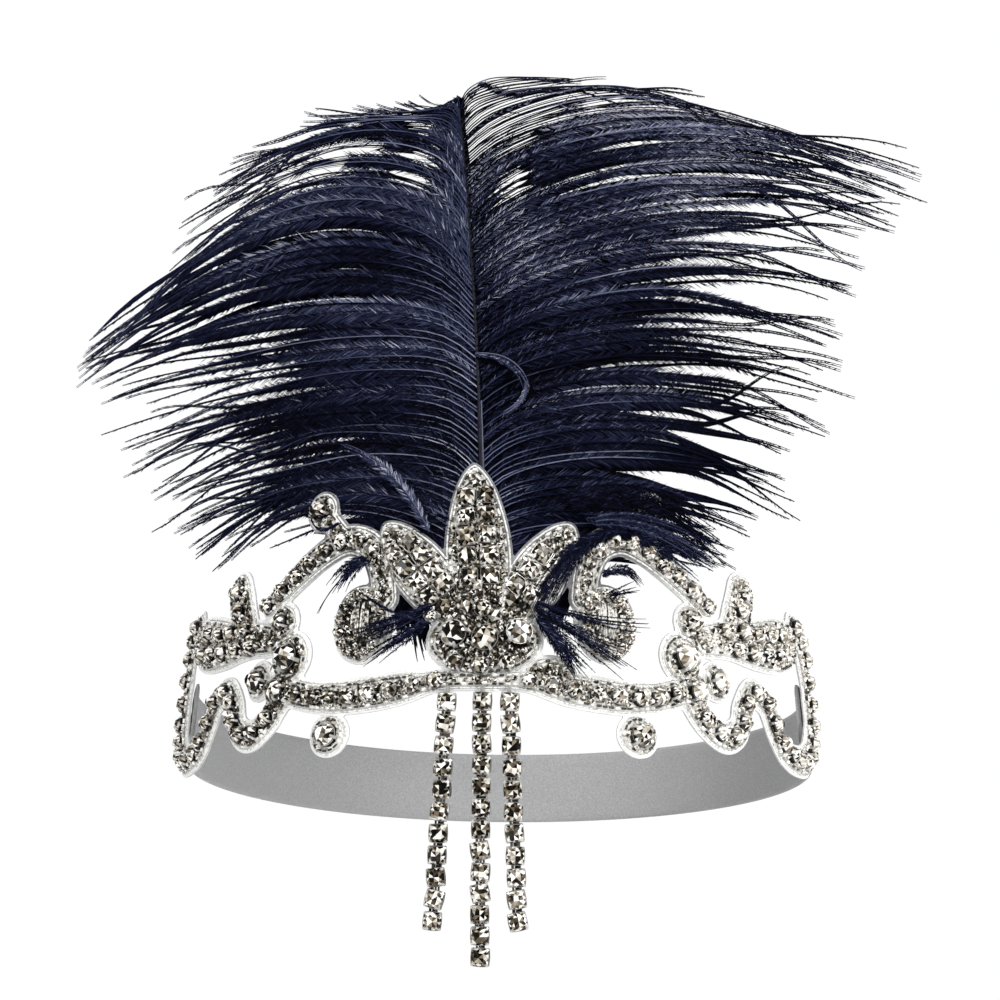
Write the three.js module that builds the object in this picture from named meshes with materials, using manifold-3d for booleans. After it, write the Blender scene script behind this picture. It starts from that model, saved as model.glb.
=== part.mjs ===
// Flapper feather headband, in millimetres, +Z up, with the front of the head towards -Y.
// The origin is the middle of the hollow for the head, in the plane of the ring.
import * as THREE from "three";
import { mergeVertices } from "three/addons/utils/BufferGeometryUtils.js";
import Module from "manifold-3d";

const wasm = await Module();
wasm.setup();

// Driving dimensions of the ring that the head fills: angles in degrees
const HEAD_HALF_WIDTH = 76;
const HEAD_HALF_DEPTH = 95;
const RING_TILT = 11.5;
const CROWN_TAPER = 5.5;
const CLEARANCE = 0.3;

// Driving dimensions of the elastic
const ELASTIC_WIDTH = 18;
const ELASTIC_THICK = 1.2;
const ELASTIC_OVERLAP = 12;

// Driving dimensions of the lace: from the front to one end, from the bar to the petal's tip
const LACE_HALF_LENGTH = 120;
const LACE_RISE = 49;
const LACE_THICK = 1.2;
const BAND_WIDTH = 8.4;

// Driving dimensions of the stones: the main ones, and the small ones in rows and on the petals
const MAIN_STONE = 5.8;
const ROW_STONE = 3.9;
const ROW_PITCH = 4.9;
const PETAL_STONE = 4.2;
const SETTING_THICK = 0.7;
const SETTING_WALL = 0.35;
const CUP_DEPTH = 0.3;
const TABLE_SHARE = 0.56;
const CROWN_SHARE = 0.4;
const FACETS = 8;

// Driving dimensions of the hanging chains
const CHAIN_STONE = 3.5;
const CHAIN_PITCH = 5.05;
const CHAIN_COUNT_SIDE = 11;
const CHAIN_COUNT_MIDDLE = 13;
const CHAIN_SPACING = 6.7;
const CHAIN_CUP_DEPTH = 0.9;
const LINK_WIDTH = 1.4;
const LINK_THICK = 0.7;

// Driving dimensions of the plume
const PLUME_HEIGHT = 138;
const PLUME_HALF_WIDTH = 100;
const QUILL_ROOT = 1.9;
const QUILL_TIP = 0.9;
const LOCK_WIDTH = 10.5;
const LOCK_THICK = 3.6;
const LOCKS_EACH_SIDE = 14;

// What the driving dimensions give
const DEGREE = Math.PI / 180;
const LEAN = Math.tan((RING_TILT + CROWN_TAPER) * DEGREE);
const LACE_INNER = ELASTIC_THICK + CLEARANCE;
const LACE_OUTER = LACE_INNER + LACE_THICK;
const STONE_BASE = LACE_OUTER + CLEARANCE;

// How finely curves are followed
const LONGEST_STEP = 12;
const RIBBON_STEP = 6;
const STRIP_STEP = 8;
const ROUND_SIDES = 12;
const QUILL_STEPS = 12;
const WELD = 1e-4;
const CUT_PAST = 1;

const range = (count) => [...Array(count).keys()];
const between = THREE.MathUtils.lerp;
const ramp = THREE.MathUtils.smoothstep;

// Surface of the head, as arc s round the ring from the front, height h up the crown, and out
const halfRing = new THREE.EllipseCurve(
  0, 0, HEAD_HALF_WIDTH, HEAD_HALF_DEPTH, -Math.PI / 2, Math.PI / 2,
);
halfRing.arcLengthDivisions = 600;
const HALF_ROUND = halfRing.getLength();

function outwardAt(s) {
  const turn = s > HALF_ROUND ? s - 2 * HALF_ROUND : s;
  const foot = halfRing.getPointAt(Math.min(Math.abs(turn) / HALF_ROUND, 1));
  foot.x *= turn < 0 ? -1 : 1;
  const outward = new THREE.Vector2(foot.x / HEAD_HALF_WIDTH ** 2, foot.y / HEAD_HALF_DEPTH ** 2);
  return { foot, outward: outward.normalize() };
}

function onHead(s, h, out) {
  const { foot, outward } = outwardAt(s);
  foot.addScaledVector(outward, out - h * Math.tan(CROWN_TAPER * DEGREE));
  return new THREE.Vector3(foot.x, foot.y, h);
}

const upright = (point) => point.applyAxisAngle(new THREE.Vector3(1, 0, 0), -RING_TILT * DEGREE);

// Solids for cutting and joining
function welded(geometry) {
  const bare = geometry.clone();
  bare.deleteAttribute("normal");
  bare.deleteAttribute("uv");
  return mergeVertices(bare, WELD);
}

function toSolid(geometry) {
  const merged = welded(geometry);
  return new wasm.Manifold(new wasm.Mesh({
    numProp: 3,
    vertProperties: Float32Array.from(merged.attributes.position.array),
    triVerts: Uint32Array.from(merged.index.array),
  }));
}

const join = (solids) => solids.reduce((whole, solid) => whole.add(solid));

function toGeometry(points, faces) {
  const geometry = new THREE.BufferGeometry();
  geometry.setAttribute("position", new THREE.Float32BufferAttribute(points.flat(), 3));
  geometry.setIndex(faces.flat());
  geometry.computeVertexNormals();
  return geometry;
}

function triples(values) {
  const rows = [];
  for (let i = 0; i < values.length; i += 3) rows.push(Array.from(values.slice(i, i + 3)));
  return rows;
}

function meshOf(solid) {
  const { vertProperties, triVerts } = solid.getMesh();
  return { points: triples(vertProperties), faces: triples(triVerts) };
}

const plainGeometry = (solid) => {
  const { points, faces } = meshOf(solid);
  return toGeometry(points, faces);
};

const bendRound = (points, faces) => toGeometry(
  points.map(([s, h, out]) => onHead(s, h, out).toArray()), faces,
);

// Bend a flat solid, drawn as (s, h, out), round the head, after halving its long edges
function wrap(solid) {
  const { points, faces } = meshOf(solid);
  let rest = faces;
  for (;;) {
    const middles = new Map();
    const middleOf = (a, b) => {
      if (Math.abs(points[a][0] - points[b][0]) <= LONGEST_STEP) return null;
      const key = a < b ? `${a} ${b}` : `${b} ${a}`;
      if (!middles.has(key)) {
        middles.set(key, points.length);
        points.push(points[a].map((value, axis) => (value + points[b][axis]) / 2));
      }
      return middles.get(key);
    };
    const finer = [];
    for (const [a, b, c] of rest) {
      const outline = [a, middleOf(a, b), b, middleOf(b, c), c, middleOf(c, a)];
      const first = outline.findIndex((vertex, place) => place % 2 === 1 && vertex !== null);
      const turned = first < 0 ? outline : [...outline.slice(first), ...outline.slice(0, first)];
      const corners = turned.filter((vertex) => vertex !== null);
      for (let i = 1; i + 1 < corners.length; i += 1) {
        finer.push([corners[0], corners[i], corners[i + 1]]);
      }
    }
    rest = finer;
    if (middles.size === 0) break;
  }
  return bendRound(points, rest);
}

// A cut stone or a cup, as a stack of eight-sided rings [radius, height], closed at both ends
function faceted(rings) {
  const points = rings.flatMap(([radius, height]) => range(FACETS).map((i) => {
    const angle = (2 * Math.PI * (i + 0.5)) / FACETS;
    return [radius * Math.cos(angle), radius * Math.sin(angle), height];
  }));
  const faces = [];
  const last = FACETS * (rings.length - 1);
  for (let ringStart = 0; ringStart < last; ringStart += FACETS) {
    for (let i = 0; i < FACETS; i += 1) {
      const [a, b] = [ringStart + i, ringStart + ((i + 1) % FACETS)];
      faces.push([a, b, b + FACETS], [a, b + FACETS, a + FACETS]);
    }
  }
  for (let i = 1; i + 1 < FACETS; i += 1) faces.push([0, i + 1, i], [last, last + i, last + i + 1]);
  return toGeometry(points, faces);
}

// Flat slabs between two levels
function slab(shape, inner, outer) {
  const options = { depth: outer - inner, bevelEnabled: false, curveSegments: ROUND_SIDES / 2 };
  return toSolid(new THREE.ExtrudeGeometry(shape, options).translate(0, 0, inner));
}

function oval(s, h, radiusS, radiusH, inner, outer) {
  const shape = new THREE.Shape();
  shape.absellipse(s, h, radiusS, radiusH, 0, 2 * Math.PI);
  return slab(shape, inner, outer);
}

const disc = (s, h, radius, inner, outer) => oval(s, h, radius, radius, inner, outer);

// Stations along a band: each holds s, h and, in z, its width
function stations(rows, step) {
  const spotOf = ({ s, h, wide }) => new THREE.Vector3(s, h, wide);
  const line = new THREE.CatmullRomCurve3(rows.map(spotOf));
  const spots = line.getSpacedPoints(Math.max(2, Math.ceil(line.getLength() / step)));
  return spots.map((spot, i) => {
    const before = spots[Math.max(i - 1, 0)];
    const after = spots[Math.min(i + 1, spots.length - 1)];
    const side = new THREE.Vector2(before.y - after.y, after.x - before.x).normalize();
    return { s: spot.x, h: spot.y, wide: spot.z, side };
  });
}

// A band with round ends, grown all round
function ribbon(rows, inner, outer, grow = 0, step = RIBBON_STEP) {
  const line = stations(rows, step);
  const edge = ({ s, h, wide, side }, way) => {
    const reach = way * (wide / 2 + grow);
    return new THREE.Vector2(s + side.x * reach, h + side.y * reach);
  };
  const roundEnd = (station, way) => {
    const arc = [];
    for (let i = 1; i < ROUND_SIDES / 2; i += 1) {
      const angle = (2 * Math.PI * i) / ROUND_SIDES;
      const spot = new THREE.Vector2(way * station.side.y, -way * station.side.x);
      spot.multiplyScalar(Math.sin(angle)).addScaledVector(station.side, Math.cos(angle));
      spot.multiplyScalar(station.wide / 2 + grow);
      arc.push(new THREE.Vector2(station.s + spot.x, station.h + spot.y));
    }
    return slab(new THREE.Shape([edge(station, 1), ...arc, edge(station, -1)]), inner, outer);
  };
  const pieces = [roundEnd(line[0], -1), roundEnd(line[line.length - 1], 1)];
  for (let i = 0; i + 1 < line.length; i += 1) {
    const [start, end] = [line[i], line[i + 1]];
    const corners = [edge(start, 1), edge(start, -1), edge(end, -1), edge(end, 1)];
    pieces.push(slab(new THREE.Shape(corners), inner, outer));
  }
  return join(pieces);
}

// Charts of one half of the lace. along: share of the half length, up: share of the rise,
// wide and radius_share: shares of the band's width, stone_share: share of a main stone
const BAR = [
  { along: 0.0, up: -0.045, wide_share: 0.6 },
  { along: 0.085, up: -0.045, wide_share: 0.68 },
  { along: 0.167, up: -0.08, wide_share: 1.0 },
  { along: 0.267, up: -0.1, wide_share: 1.02 },
  { along: 0.35, up: -0.078, wide_share: 0.95 },
  { along: 0.43, up: -0.02, wide_share: 0.94 },
];
const ARM = [
  { along: 0.483, up: 0.408, wide_share: 0.8 },
  { along: 0.404, up: 0.535, wide_share: 0.88 },
  { along: 0.333, up: 0.633, wide_share: 0.9 },
  { along: 0.279, up: 0.673, wide_share: 0.93 },
  { along: 0.23, up: 0.622, wide_share: 0.93 },
  { along: 0.205, up: 0.5, wide_share: 0.88 },
  { along: 0.197, up: 0.367, wide_share: 0.88 },
];
const BUD_NECK = [
  { along: 0.35, up: 0.815, wide_share: 0.75 },
  { along: 0.325, up: 0.75, wide_share: 0.75 },
  { along: 0.3, up: 0.685, wide_share: 0.75 },
];
const LEAF = [
  { along: 0.467, up: 0.23, wide_share: 1.0 },
  { along: 0.55, up: 0.261, wide_share: 1.2 },
  { along: 0.65, up: 0.271, wide_share: 1.5 },
  { along: 0.75, up: 0.306, wide_share: 1.68 },
  { along: 0.815, up: 0.337, wide_share: 1.5 },
];
const FINGER = [
  { along: 0.565, up: 0.29, wide_share: 1.2 },
  { along: 0.592, up: 0.408, wide_share: 1.35 },
  { along: 0.61, up: 0.51, wide_share: 1.3 },
];
const MEANDER = [
  { along: 0.865, up: 0.44, wide_share: 1.0 },
  { along: 0.928, up: 0.337, wide_share: 1.1 },
  { along: 0.955, up: 0.143, wide_share: 1.06 },
  { along: 0.945, up: -0.061, wide_share: 1.0 },
  { along: 0.892, up: -0.204, wide_share: 1.0 },
  { along: 0.817, up: -0.245, wide_share: 0.95 },
  { along: 0.738, up: -0.214, wide_share: 0.95 },
  { along: 0.696, up: -0.112, wide_share: 0.9 },
  { along: 0.67, up: -0.01, wide_share: 0.9 },
  { along: 0.62, up: 0.02, wide_share: 0.9 },
  { along: 0.583, up: -0.071, wide_share: 0.9 },
  { along: 0.567, up: -0.173, wide_share: 0.9 },
  { along: 0.52, up: -0.229, wide_share: 0.95 },
  { along: 0.467, up: -0.173, wide_share: 0.95 },
  { along: 0.432, up: -0.071, wide_share: 0.95 },
];
const OVAL = { along: 0.241, up: 0.249, half_along: 0.066, half_up: 0.196 };
const HEART = { along: 0.004, up: 0.147, half_along: 0.112, half_up: 0.184 };
const LEAFLET = { along: 0.128, up: -0.005, half_along: 0.052, half_up: 0.09 };
const BUD = { along: 0.357, up: 0.833, radius_share: 0.59, stone_share: 0.79 };
const DROP = { along: 0.3, up: -0.278, radius_share: 0.64, stone_share: 0.93 };
const TIP = { along: 0.486, up: 0.402, radius_share: 0.4, stone_share: 0.59 };
const LOBES = [
  { along: 0.44, up: 0.306, radius_share: 0.6, stone_share: 0.72 },
  { along: 0.412, up: 0.127, radius_share: 0.775, stone_share: 1.1 },
  { along: 0.502, up: 0.037, radius_share: 0.6, stone_share: 0.83 },
  { along: 0.4375, up: -0.027, radius_share: 0.62, stone_share: 0.83 },
];

// Petals: root and tip of each midrib as [along, up], the width in shares of the band's width, and
// where the pairs of stones lie, as shares of the midrib
const PETALS = [
  {
    name: "centre", root: [0, 0.2], tip: [-0.022, 1.0], wide_share: 1.92,
    pairs: [0.32, 0.445, 0.57, 0.695, 0.815],
  },
  {
    name: "left", root: [-0.046, 0.265], tip: [-0.203, 0.728], wide_share: 1.68,
    pairs: [0.27, 0.425, 0.58, 0.735],
  },
  {
    name: "right", root: [0.05, 0.265], tip: [0.176, 0.718], wide_share: 1.68,
    pairs: [0.27, 0.445, 0.62],
  },
];
const PETAL_FORM = [
  { share: 0.0, wide_share: 0.55 },
  { share: 0.25, wide_share: 0.92 },
  { share: 0.5, wide_share: 1.0 },
  { share: 0.75, wide_share: 0.78 },
  { share: 0.9, wide_share: 0.48 },
  { share: 1.0, wide_share: 0.14 },
];
const HEART_STONES = [
  { along: -0.053, up: 0.178, stone_share: 1.0 },
  { along: 0.005, up: 0.155, stone_share: 1.0 },
  { along: 0.068, up: 0.188, stone_share: 1.0 },
  { along: -0.05, up: 0.04, stone_share: 0.66 },
  { along: -0.003, up: 0.028, stone_share: 0.66 },
  { along: 0.045, up: 0.04, stone_share: 0.66 },
  { along: 0.0, up: 0.3, stone_share: 0.66 },
  { along: -0.096, up: 0.262, stone_share: 0.48 },
];

// Rows of stones: the shares of the band between which each runs, how far off the middle its stones
// lie in turn, as a share of a stone, and their spacing as a share of the usual one
const ROWS = {
  bar: { band: BAR, first_share: 0.2, last_share: 0.9, stagger: 0, spacing: 1 },
  arm: { band: ARM, first_share: 0.11, last_share: 0.74, stagger: 0, spacing: 1 },
  leaf: { band: LEAF, first_share: 0.2, last_share: 0.86, stagger: 0.6, spacing: 0.72 },
  finger: { band: FINGER, first_share: 0.6, last_share: 1, stagger: 0, spacing: 1 },
  meander: { band: MEANDER, first_share: 0, last_share: 0.95, stagger: 0, spacing: 1.1 },
};

const placed = (row, side) => ({
  s: side * row.along * LACE_HALF_LENGTH, h: row.up * LACE_RISE, wide: row.wide_share * BAND_WIDTH,
});
const lineOf = (rows, side) => rows.map((row) => placed(row, side));

// Lace, flat, grown all round by the last value
const laceDisc = (row, side, grow) => disc(
  side * row.along * LACE_HALF_LENGTH, row.up * LACE_RISE, row.radius_share * BAND_WIDTH + grow,
  LACE_INNER, LACE_OUTER,
);
const laceOval = (row, side, grow) => oval(
  side * row.along * LACE_HALF_LENGTH, row.up * LACE_RISE,
  row.half_along * LACE_HALF_LENGTH + grow, row.half_up * LACE_RISE + grow, LACE_INNER, LACE_OUTER,
);
const laceBand = (rows, side, grow) => ribbon(lineOf(rows, side), LACE_INNER, LACE_OUTER, grow);

// Midrib of a petal, from one share of its length to another
function midrib(petal, from = 0, to = 1) {
  const rows = PETAL_FORM.filter(({ share }) => share > from && share < to);
  const widthAt = (share) => {
    const after = PETAL_FORM.findIndex((row) => row.share >= share);
    const [low, high] = [PETAL_FORM[Math.max(after - 1, 0)], PETAL_FORM[after]];
    const part = high.share > low.share ? (share - low.share) / (high.share - low.share) : 0;
    return between(low.wide_share, high.wide_share, part);
  };
  const shares = [from, ...rows.map((row) => row.share), to];
  return shares.map((share) => ({
    s: (petal.root[0] + share * (petal.tip[0] - petal.root[0])) * LACE_HALF_LENGTH,
    h: (petal.root[1] + share * (petal.tip[1] - petal.root[1])) * LACE_RISE,
    wide: widthAt(share) * petal.wide_share * BAND_WIDTH,
  }));
}

function laceFlower(grow = 0) {
  const petals = PETALS.map((petal) => ribbon(midrib(petal), LACE_INNER, LACE_OUTER, grow));
  const bar = BAR.slice(0, 2);
  const middle = [...lineOf(bar, -1).reverse(), ...lineOf(bar, 1).slice(1)];
  return join([...petals, laceOval(HEART, 1, grow), ribbon(middle, LACE_INNER, LACE_OUTER, grow)]);
}

function laceEnd(side, grow = 0) {
  const bands = [LEAF, FINGER, MEANDER].map((rows) => laceBand(rows, side, grow));
  return join([...bands, ...LOBES.map((lobe) => laceDisc(lobe, side, grow))]);
}

function laceArm(side) {
  const whole = join([
    laceBand(ARM, side, 0), laceBand(BUD_NECK, side, 0), laceDisc(BUD, side, 0),
    laceDisc(TIP, side, 0), laceOval(OVAL, side, 0),
  ]);
  return whole.subtract(laceFlower(CLEARANCE)).subtract(laceEnd(side, CLEARANCE));
}

function laceBar(side) {
  const pieces = [laceBand(BAR.slice(1), side, 0), laceDisc(DROP, side, 0)];
  if (side > 0) pieces.push(laceOval(LEAFLET, side, 0));
  return join(pieces).subtract(laceFlower(CLEARANCE)).subtract(laceEnd(side, CLEARANCE));
}

// A cut stone in the flat chart: eight facets up to its table
function flatStone(s, h, size) {
  const base = STONE_BASE + SETTING_THICK;
  const stone = faceted([[size / 2, base], [(size / 2) * TABLE_SHARE, base + CROWN_SHARE * size]]);
  return toSolid(stone.translate(s, h, 0));
}

// Row of stones fused to the strip that they are set on
function stoneRow({ band, first_share: first, last_share: last, stagger, spacing }, side) {
  const flat = ({ s, h }) => new THREE.Vector3(s, h, 0);
  const line = new THREE.CatmullRomCurve3(lineOf(band, side).map(flat));
  const length = (last - first) * line.getLength();
  const shareAt = (i, count) => first + ((last - first) * i) / count;
  const off = stagger * ROW_STONE;
  const steps = Math.max(2, Math.ceil(length / RIBBON_STEP));
  const strip = range(steps + 1).map((i) => {
    const spot = line.getPointAt(shareAt(i, steps));
    return { s: spot.x, h: spot.y, wide: 2 * off + ROW_STONE + SETTING_WALL };
  });
  const solids = [ribbon(strip, STONE_BASE, STONE_BASE + SETTING_THICK, 0, STRIP_STEP)];
  const gaps = Math.max(1, Math.round(length / (spacing * ROW_PITCH)));
  for (let i = 0; i <= gaps; i += 1) {
    const spot = line.getPointAt(shareAt(i, gaps));
    const along = line.getTangentAt(shareAt(i, gaps));
    const way = i % 2 === 0 ? off : -off;
    solids.push(flatStone(spot.x - along.y * way, spot.y + along.x * way, ROW_STONE));
  }
  return join(solids);
}

// Ring of stones round the volute
function stoneRing(side) {
  const inset = SETTING_WALL + ROW_STONE / 2;
  const [s, h] = [side * OVAL.along * LACE_HALF_LENGTH, OVAL.up * LACE_RISE];
  const radiusS = OVAL.half_along * LACE_HALF_LENGTH - inset;
  const radiusH = OVAL.half_up * LACE_RISE - inset;
  const half = (ROW_STONE + SETTING_WALL) / 2;
  const top = STONE_BASE + SETTING_THICK;
  const strip = oval(s, h, radiusS + half, radiusH + half, STONE_BASE, top)
    .subtract(oval(s, h, radiusS - half, radiusH - half, STONE_BASE - CUT_PAST, top + CUT_PAST));
  const ring = new THREE.EllipseCurve(s, h, radiusS, radiusH, 0, 2 * Math.PI);
  const count = Math.round(ring.getLength() / ROW_PITCH);
  const stones = [];
  for (let i = 0; i < count; i += 1) {
    const spot = ring.getPointAt(i / count);
    stones.push(flatStone(spot.x, spot.y, ROW_STONE));
  }
  return join([strip, ...stones]);
}

// Stones of a petal in pairs, fused to one plate
function petalStones(petal) {
  const across = PETAL_STONE / 2 + CLEARANCE;
  const [from, to] = [petal.pairs[0], petal.pairs[petal.pairs.length - 1]];
  const wide = 2 * across + PETAL_STONE + SETTING_WALL;
  const plate = midrib(petal, from, to).map((row) => ({ ...row, wide }));
  const solids = [ribbon(plate, STONE_BASE, STONE_BASE + SETTING_THICK)];
  const [root] = midrib(petal);
  const tip = midrib(petal)[PETAL_FORM.length - 1];
  const run = new THREE.Vector2(tip.s - root.s, tip.h - root.h);
  const side = new THREE.Vector2(-run.y, run.x).normalize().multiplyScalar(across);
  for (const share of petal.pairs) {
    for (const way of [-1, 1]) {
      const s = root.s + run.x * share + side.x * way;
      const h = root.h + run.y * share + side.y * way;
      solids.push(flatStone(s, h, PETAL_STONE));
    }
  }
  return join(solids);
}

// A main stone in its cup, standing on z = 0
function cupStone(size) {
  const girdle = size / 2;
  const rim = girdle + SETTING_WALL;
  const cup = SETTING_THICK + CUP_DEPTH;
  return faceted([[rim, 0], [girdle, cup], [girdle * TABLE_SHARE, cup + CROWN_SHARE * size]]);
}

// One hanging strand, from z = 0 down, its back on y = 0 and its stones towards -Y
function strand(count) {
  const girdle = CHAIN_STONE / 2;
  const rim = girdle + SETTING_WALL;
  const cup = SETTING_THICK + CHAIN_CUP_DEPTH;
  const table = cup + CROWN_SHARE * CHAIN_STONE;
  const solids = [];
  for (let i = 0; i < count; i += 1) {
    const stone = faceted([[rim, 0], [rim, cup], [girdle * TABLE_SHARE, table]]);
    solids.push(toSolid(stone.rotateX(Math.PI / 2).translate(0, 0, -CHAIN_PITCH * (i + 0.5))));
    const link = new THREE.BoxGeometry(LINK_WIDTH, LINK_THICK, CHAIN_PITCH - rim);
    solids.push(toSolid(link.translate(0, -LINK_THICK / 2, -CHAIN_PITCH * i)));
  }
  return plainGeometry(join(solids));
}

// Quill of the plume: it rises behind the lace, then curls back
const QUILL_END = 0.945;
const CURL_FROM = 0.6;
const CURL = 0.37;
const QUILL_ASIDE = 0.06;
const root = upright(onHead(0, BAND_WIDTH / 4, LACE_INNER - CLEARANCE - QUILL_ROOT / 2));

function quill(up) {
  const curl = CURL * Math.max(0, up - CURL_FROM) ** 2;
  return new THREE.Vector3(
    root.x - QUILL_ASIDE * PLUME_HEIGHT * up ** 2,
    root.y + PLUME_HEIGHT * (up * LEAN + curl),
    root.z + PLUME_HEIGHT * up,
  );
}

// Locks of barbs. from: where each leaves the quill, reach: share of the half width at its tip,
// tip and arch: heights of its tip and of the bend between, as shares of the plume's height
const LOCKS_RIGHT = [
  { from: 0.15, reach: 0.54, tip: 0.135, arch: 0.2 },
  { from: 0.2, reach: 0.6, tip: 0.188, arch: 0.275 },
  { from: 0.27, reach: 0.67, tip: 0.266, arch: 0.37 },
  { from: 0.35, reach: 0.74, tip: 0.37, arch: 0.48 },
  { from: 0.42, reach: 0.81, tip: 0.484, arch: 0.57 },
  { from: 0.49, reach: 0.86, tip: 0.59, arch: 0.67 },
  { from: 0.56, reach: 0.89, tip: 0.7, arch: 0.76 },
  { from: 0.645, reach: 0.89, tip: 0.763, arch: 0.84 },
  { from: 0.73, reach: 0.93, tip: 0.8, arch: 0.89 },
  { from: 0.82, reach: 1.02, tip: 0.82, arch: 0.95 },
  { from: 0.88, reach: 0.68, tip: 0.91, arch: 0.98 },
  { from: 0.935, reach: 0.48, tip: 0.97, arch: 1.01 },
];
const LOCKS_LEFT = [
  { from: 0.17, reach: 0.5, tip: 0.16, arch: 0.24 },
  { from: 0.22, reach: 0.62, tip: 0.17, arch: 0.31 },
  { from: 0.27, reach: 0.7, tip: 0.19, arch: 0.38 },
  { from: 0.34, reach: 0.77, tip: 0.235, arch: 0.47 },
  { from: 0.41, reach: 0.85, tip: 0.315, arch: 0.58 },
  { from: 0.48, reach: 0.88, tip: 0.38, arch: 0.71 },
  { from: 0.56, reach: 0.94, tip: 0.45, arch: 0.84 },
  { from: 0.64, reach: 0.98, tip: 0.5, arch: 0.93 },
  { from: 0.7, reach: 0.88, tip: 0.63, arch: 0.91 },
  { from: 0.77, reach: 0.76, tip: 0.74, arch: 0.92 },
  { from: 0.84, reach: 0.66, tip: 0.84, arch: 0.94 },
  { from: 0.935, reach: 0.46, tip: 0.93, arch: 0.99 },
];
const LOCK_FORM = [
  { share: 0.0, wide_share: 0.6, thick_share: 0.5 },
  { share: 0.2, wide_share: 0.95, thick_share: 0.9 },
  { share: 0.45, wide_share: 1.0, thick_share: 1.0 },
  { share: 0.72, wide_share: 0.9, thick_share: 0.85 },
  { share: 1.0, wide_share: 0.16, thick_share: 0.3 },
];

// How the locks bend, and how they lie on the head low down and stand free of it higher up, where
// every other lock lies nearer the front
const BEND_SHARE = 0.45;
const STRAIGHT_FROM = 0.74;
const SPREAD_SLOPE = 0.8;
const CURVE_SHARE = 1.1;
const PRESSED_BELOW = 0.34;
const FULL_ABOVE = 0.5;
const FREE_ABOVE = 0.75;
const FREE_HUG = 0.4;
const PRESSED_THICK = 0.4;
const LAYER_SHARE = 0.4;

function rowAt(rows, share) {
  const place = share * (rows.length - 1);
  const first = Math.min(Math.floor(place), rows.length - 2);
  const [low, high] = [rows[first], rows[first + 1]];
  return Object.fromEntries(
    Object.keys(low).map((name) => [name, between(low[name], high[name], place - first)]),
  );
}

// How far back the head's front has curved at x: an ellipse, then straight
function headCurve(x) {
  const shrink = CURVE_SHARE * LACE_RISE * Math.tan(CROWN_TAPER * DEGREE);
  const [halfWidth, halfDepth] = [HEAD_HALF_WIDTH - shrink, HEAD_HALF_DEPTH - shrink];
  const share = Math.min(Math.abs(x) / halfWidth, STRAIGHT_FROM);
  const curved = (halfDepth * (1 - Math.sqrt(1 - share ** 2))) / Math.cos(RING_TILT * DEGREE);
  return curved + (Math.abs(x) - share * halfWidth) * SPREAD_SLOPE;
}

// A solid of four-sided sections, each given by its middle and two half axes
function sweep(sections) {
  const points = [];
  const faces = [];
  for (const { middle, across, through } of sections) {
    points.push(middle.clone().add(across), middle.clone().add(through));
    points.push(middle.clone().sub(across), middle.clone().sub(through));
  }
  const last = 4 * (sections.length - 1);
  for (let i = 0; i < last; i += 4) {
    for (let k = 0; k < 4; k += 1) {
      const [a, b] = [i + k, i + ((k + 1) % 4)];
      faces.push([a, b, b + 4], [a, b + 4, a + 4]);
    }
  }
  faces.push([0, 2, 1], [0, 3, 2], [last, last + 1, last + 2], [last, last + 2, last + 3]);
  return toSolid(toGeometry(points.map((point) => point.toArray()), faces));
}

function lock(rows, side, index) {
  const row = rowAt(rows, index / (LOCKS_EACH_SIDE - 1));
  const start = quill(row.from);
  const tipX = side * row.reach * PLUME_HALF_WIDTH;
  const heightOf = (share) => root.z + share * PLUME_HEIGHT;
  const free = ramp(row.from, PRESSED_BELOW, FREE_ABOVE);
  const hug = between(1, FREE_HUG, free);
  const fullness = between(PRESSED_THICK, 1, ramp(row.from, PRESSED_BELOW, FULL_ABOVE));
  const layer = (index % 2 === 0 ? 1 : -1) * LOCK_THICK * LAYER_SHARE * free;
  const line = new THREE.QuadraticBezierCurve(
    new THREE.Vector2(start.x, start.z),
    new THREE.Vector2(between(start.x, tipX, BEND_SHARE), heightOf(row.arch)),
    new THREE.Vector2(tipX, heightOf(row.tip)),
  );
  return sweep(LOCK_FORM.map(({ share, wide_share: wide, thick_share: thick }) => {
    const spot = line.getPointAt(share);
    const run = line.getTangentAt(share);
    const back = start.y + hug * headCurve(spot.x) + (spot.y - start.z) * LEAN + layer * share;
    const across = new THREE.Vector3(-run.y, run.x * LEAN, run.x);
    const through = new THREE.Vector3(0, -1, LEAN).normalize();
    return {
      middle: new THREE.Vector3(spot.x, back, spot.y),
      across: across.multiplyScalar((wide * LOCK_WIDTH) / 2),
      through: through.multiplyScalar((thick * LOCK_THICK * fullness) / 2),
    };
  }));
}

function plume() {
  const sections = range(QUILL_STEPS + 1).map((i) => {
    const radius = between(QUILL_ROOT, QUILL_TIP, i / QUILL_STEPS) / 2;
    return {
      middle: quill((QUILL_END * i) / QUILL_STEPS),
      across: new THREE.Vector3(radius, 0, 0),
      through: new THREE.Vector3(0, radius, 0),
    };
  });
  const solids = [sweep(sections)];
  for (let index = 0; index < LOCKS_EACH_SIDE; index += 1) {
    solids.push(lock(LOCKS_RIGHT, 1, index), lock(LOCKS_LEFT, -1, index));
  }
  return plainGeometry(join(solids));
}

// Materials
function finish(color, roughness, metalness) {
  return new THREE.MeshStandardMaterial({ color, roughness, metalness });
}

const laceFinish = finish(0xd5d2ca, 0.5, 0.3);
const stoneFinish = finish(0x8d867b, 0.12, 0.5);
const featherFinish = finish(0x1a1f3d, 0.75, 0);
const elasticFinish = finish(0xa3a3a5, 0.85, 0);

function mesh(name, geometry, material) {
  const made = new THREE.Mesh(geometry, material);
  made.name = name;
  return made;
}

// The ring: lace, stones and elastic, all tilted together
const ring = new THREE.Group();
ring.rotation.x = -RING_TILT * DEGREE;

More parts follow.
